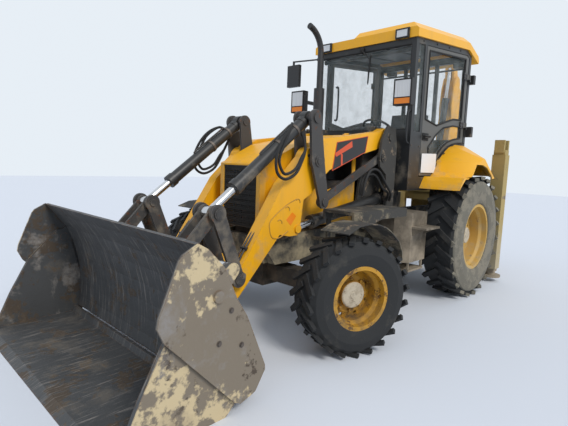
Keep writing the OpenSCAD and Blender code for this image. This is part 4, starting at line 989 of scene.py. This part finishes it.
arm_stripes()
door_fittings()
fender_seal()
cab_front()
lamp_faces()
mirror_face()
roof_edge()
cab_inside()
headliner()
hoses()
dump_hoses()
hub_caps()
grille_mesh()
arm_fasteners()


# camera, found from the wheels, the bucket and the cab

def look_through():
    yaw, pitch, roll = (math.radians(a) for a in CAMERA_DEGREES)
    view = Vector((math.cos(pitch) * math.cos(yaw), math.cos(pitch) * math.sin(yaw),
                   math.sin(pitch)))
    right = view.cross(UP).normalized()
    up = right.cross(view)
    right_rolled = right * math.cos(roll) + up * math.sin(roll)
    up_rolled = up * math.cos(roll) - right * math.sin(roll)
    data = bpy.data.cameras.new("camera")
    data.sensor_width = SENSOR
    data.lens = FOCAL_PIXELS * SENSOR / PICTURE_WIDTH
    camera = bpy.data.objects.new("camera", data)
    bpy.context.scene.collection.objects.link(camera)
    turn = Matrix((right_rolled, up_rolled, -view)).transposed()
    camera.matrix_world = Matrix.Translation(place(*CAMERA_PLACE)) @ turn.to_4x4()
    bpy.context.scene.camera = camera


def light_studio():
    """A soft even sky, plainer where it is seen, and one wide sun."""
    scene = bpy.context.scene
    scene.view_settings.view_transform = "Standard"
    world = bpy.data.worlds.new("soft_sky")
    scene.world = world
    world.use_nodes = True
    tree = world.node_tree
    tree.nodes.clear()
    net = Net(tree)
    out = net.node("ShaderNodeOutputWorld")
    lit = net.node("ShaderNodeBackground")
    lit.inputs["Color"].default_value = (0.80, 0.88, 1.0, 1)
    lit.inputs["Strength"].default_value = 0.85
    seen = net.node("ShaderNodeBackground")
    seen.inputs["Color"].default_value = (0.80, 0.86, 0.92, 1)
    seen.inputs["Strength"].default_value = 1.0
    rays = net.node("ShaderNodeLightPath").outputs
    through = net.math("MAXIMUM", rays["Is Glossy Ray"], rays["Is Transmission Ray"])
    sharp = net.math("MAXIMUM", rays["Is Camera Ray"], through)
    blend = net.node("ShaderNodeMixShader")
    net.put(blend.inputs[0], sharp)
    net.put(blend.inputs[1], lit.outputs[0])
    net.put(blend.inputs[2], seen.outputs[0])
    net.put(out.inputs["Surface"], blend.outputs[0])
    sun_data = bpy.data.lights.new("soft_sun", "SUN")
    sun_data.energy = 2.0
    sun_data.angle = math.radians(18)
    sun_data.color = (1.0, 0.96, 0.90)
    sun = bpy.data.objects.new("soft_sun", sun_data)
    scene.collection.objects.link(sun)
    toward = Vector((-0.15, -0.72, -0.68))
    sun.rotation_euler = toward.to_track_quat("-Z", "Y").to_euler()


def lay_floor():
    size = 30.0
    corners = [(-size, -size, 0), (size, -size, 0), (size, size, 0), (-size, size, 0)]
    mesh = bpy.data.meshes.new("floor")
    mesh.from_pydata(corners, [], [(0, 1, 2, 3)])
    floor = bpy.data.objects.new("floor", mesh)
    bpy.context.scene.collection.objects.link(floor)
    material, _, shader = new_material("pale_floor")
    shader.inputs["Base Color"].default_value = (0.62, 0.65, 0.70, 1)
    shader.inputs["Roughness"].default_value = 0.9
    mesh.materials.append(material)


look_through()
light_studio()
lay_floor()
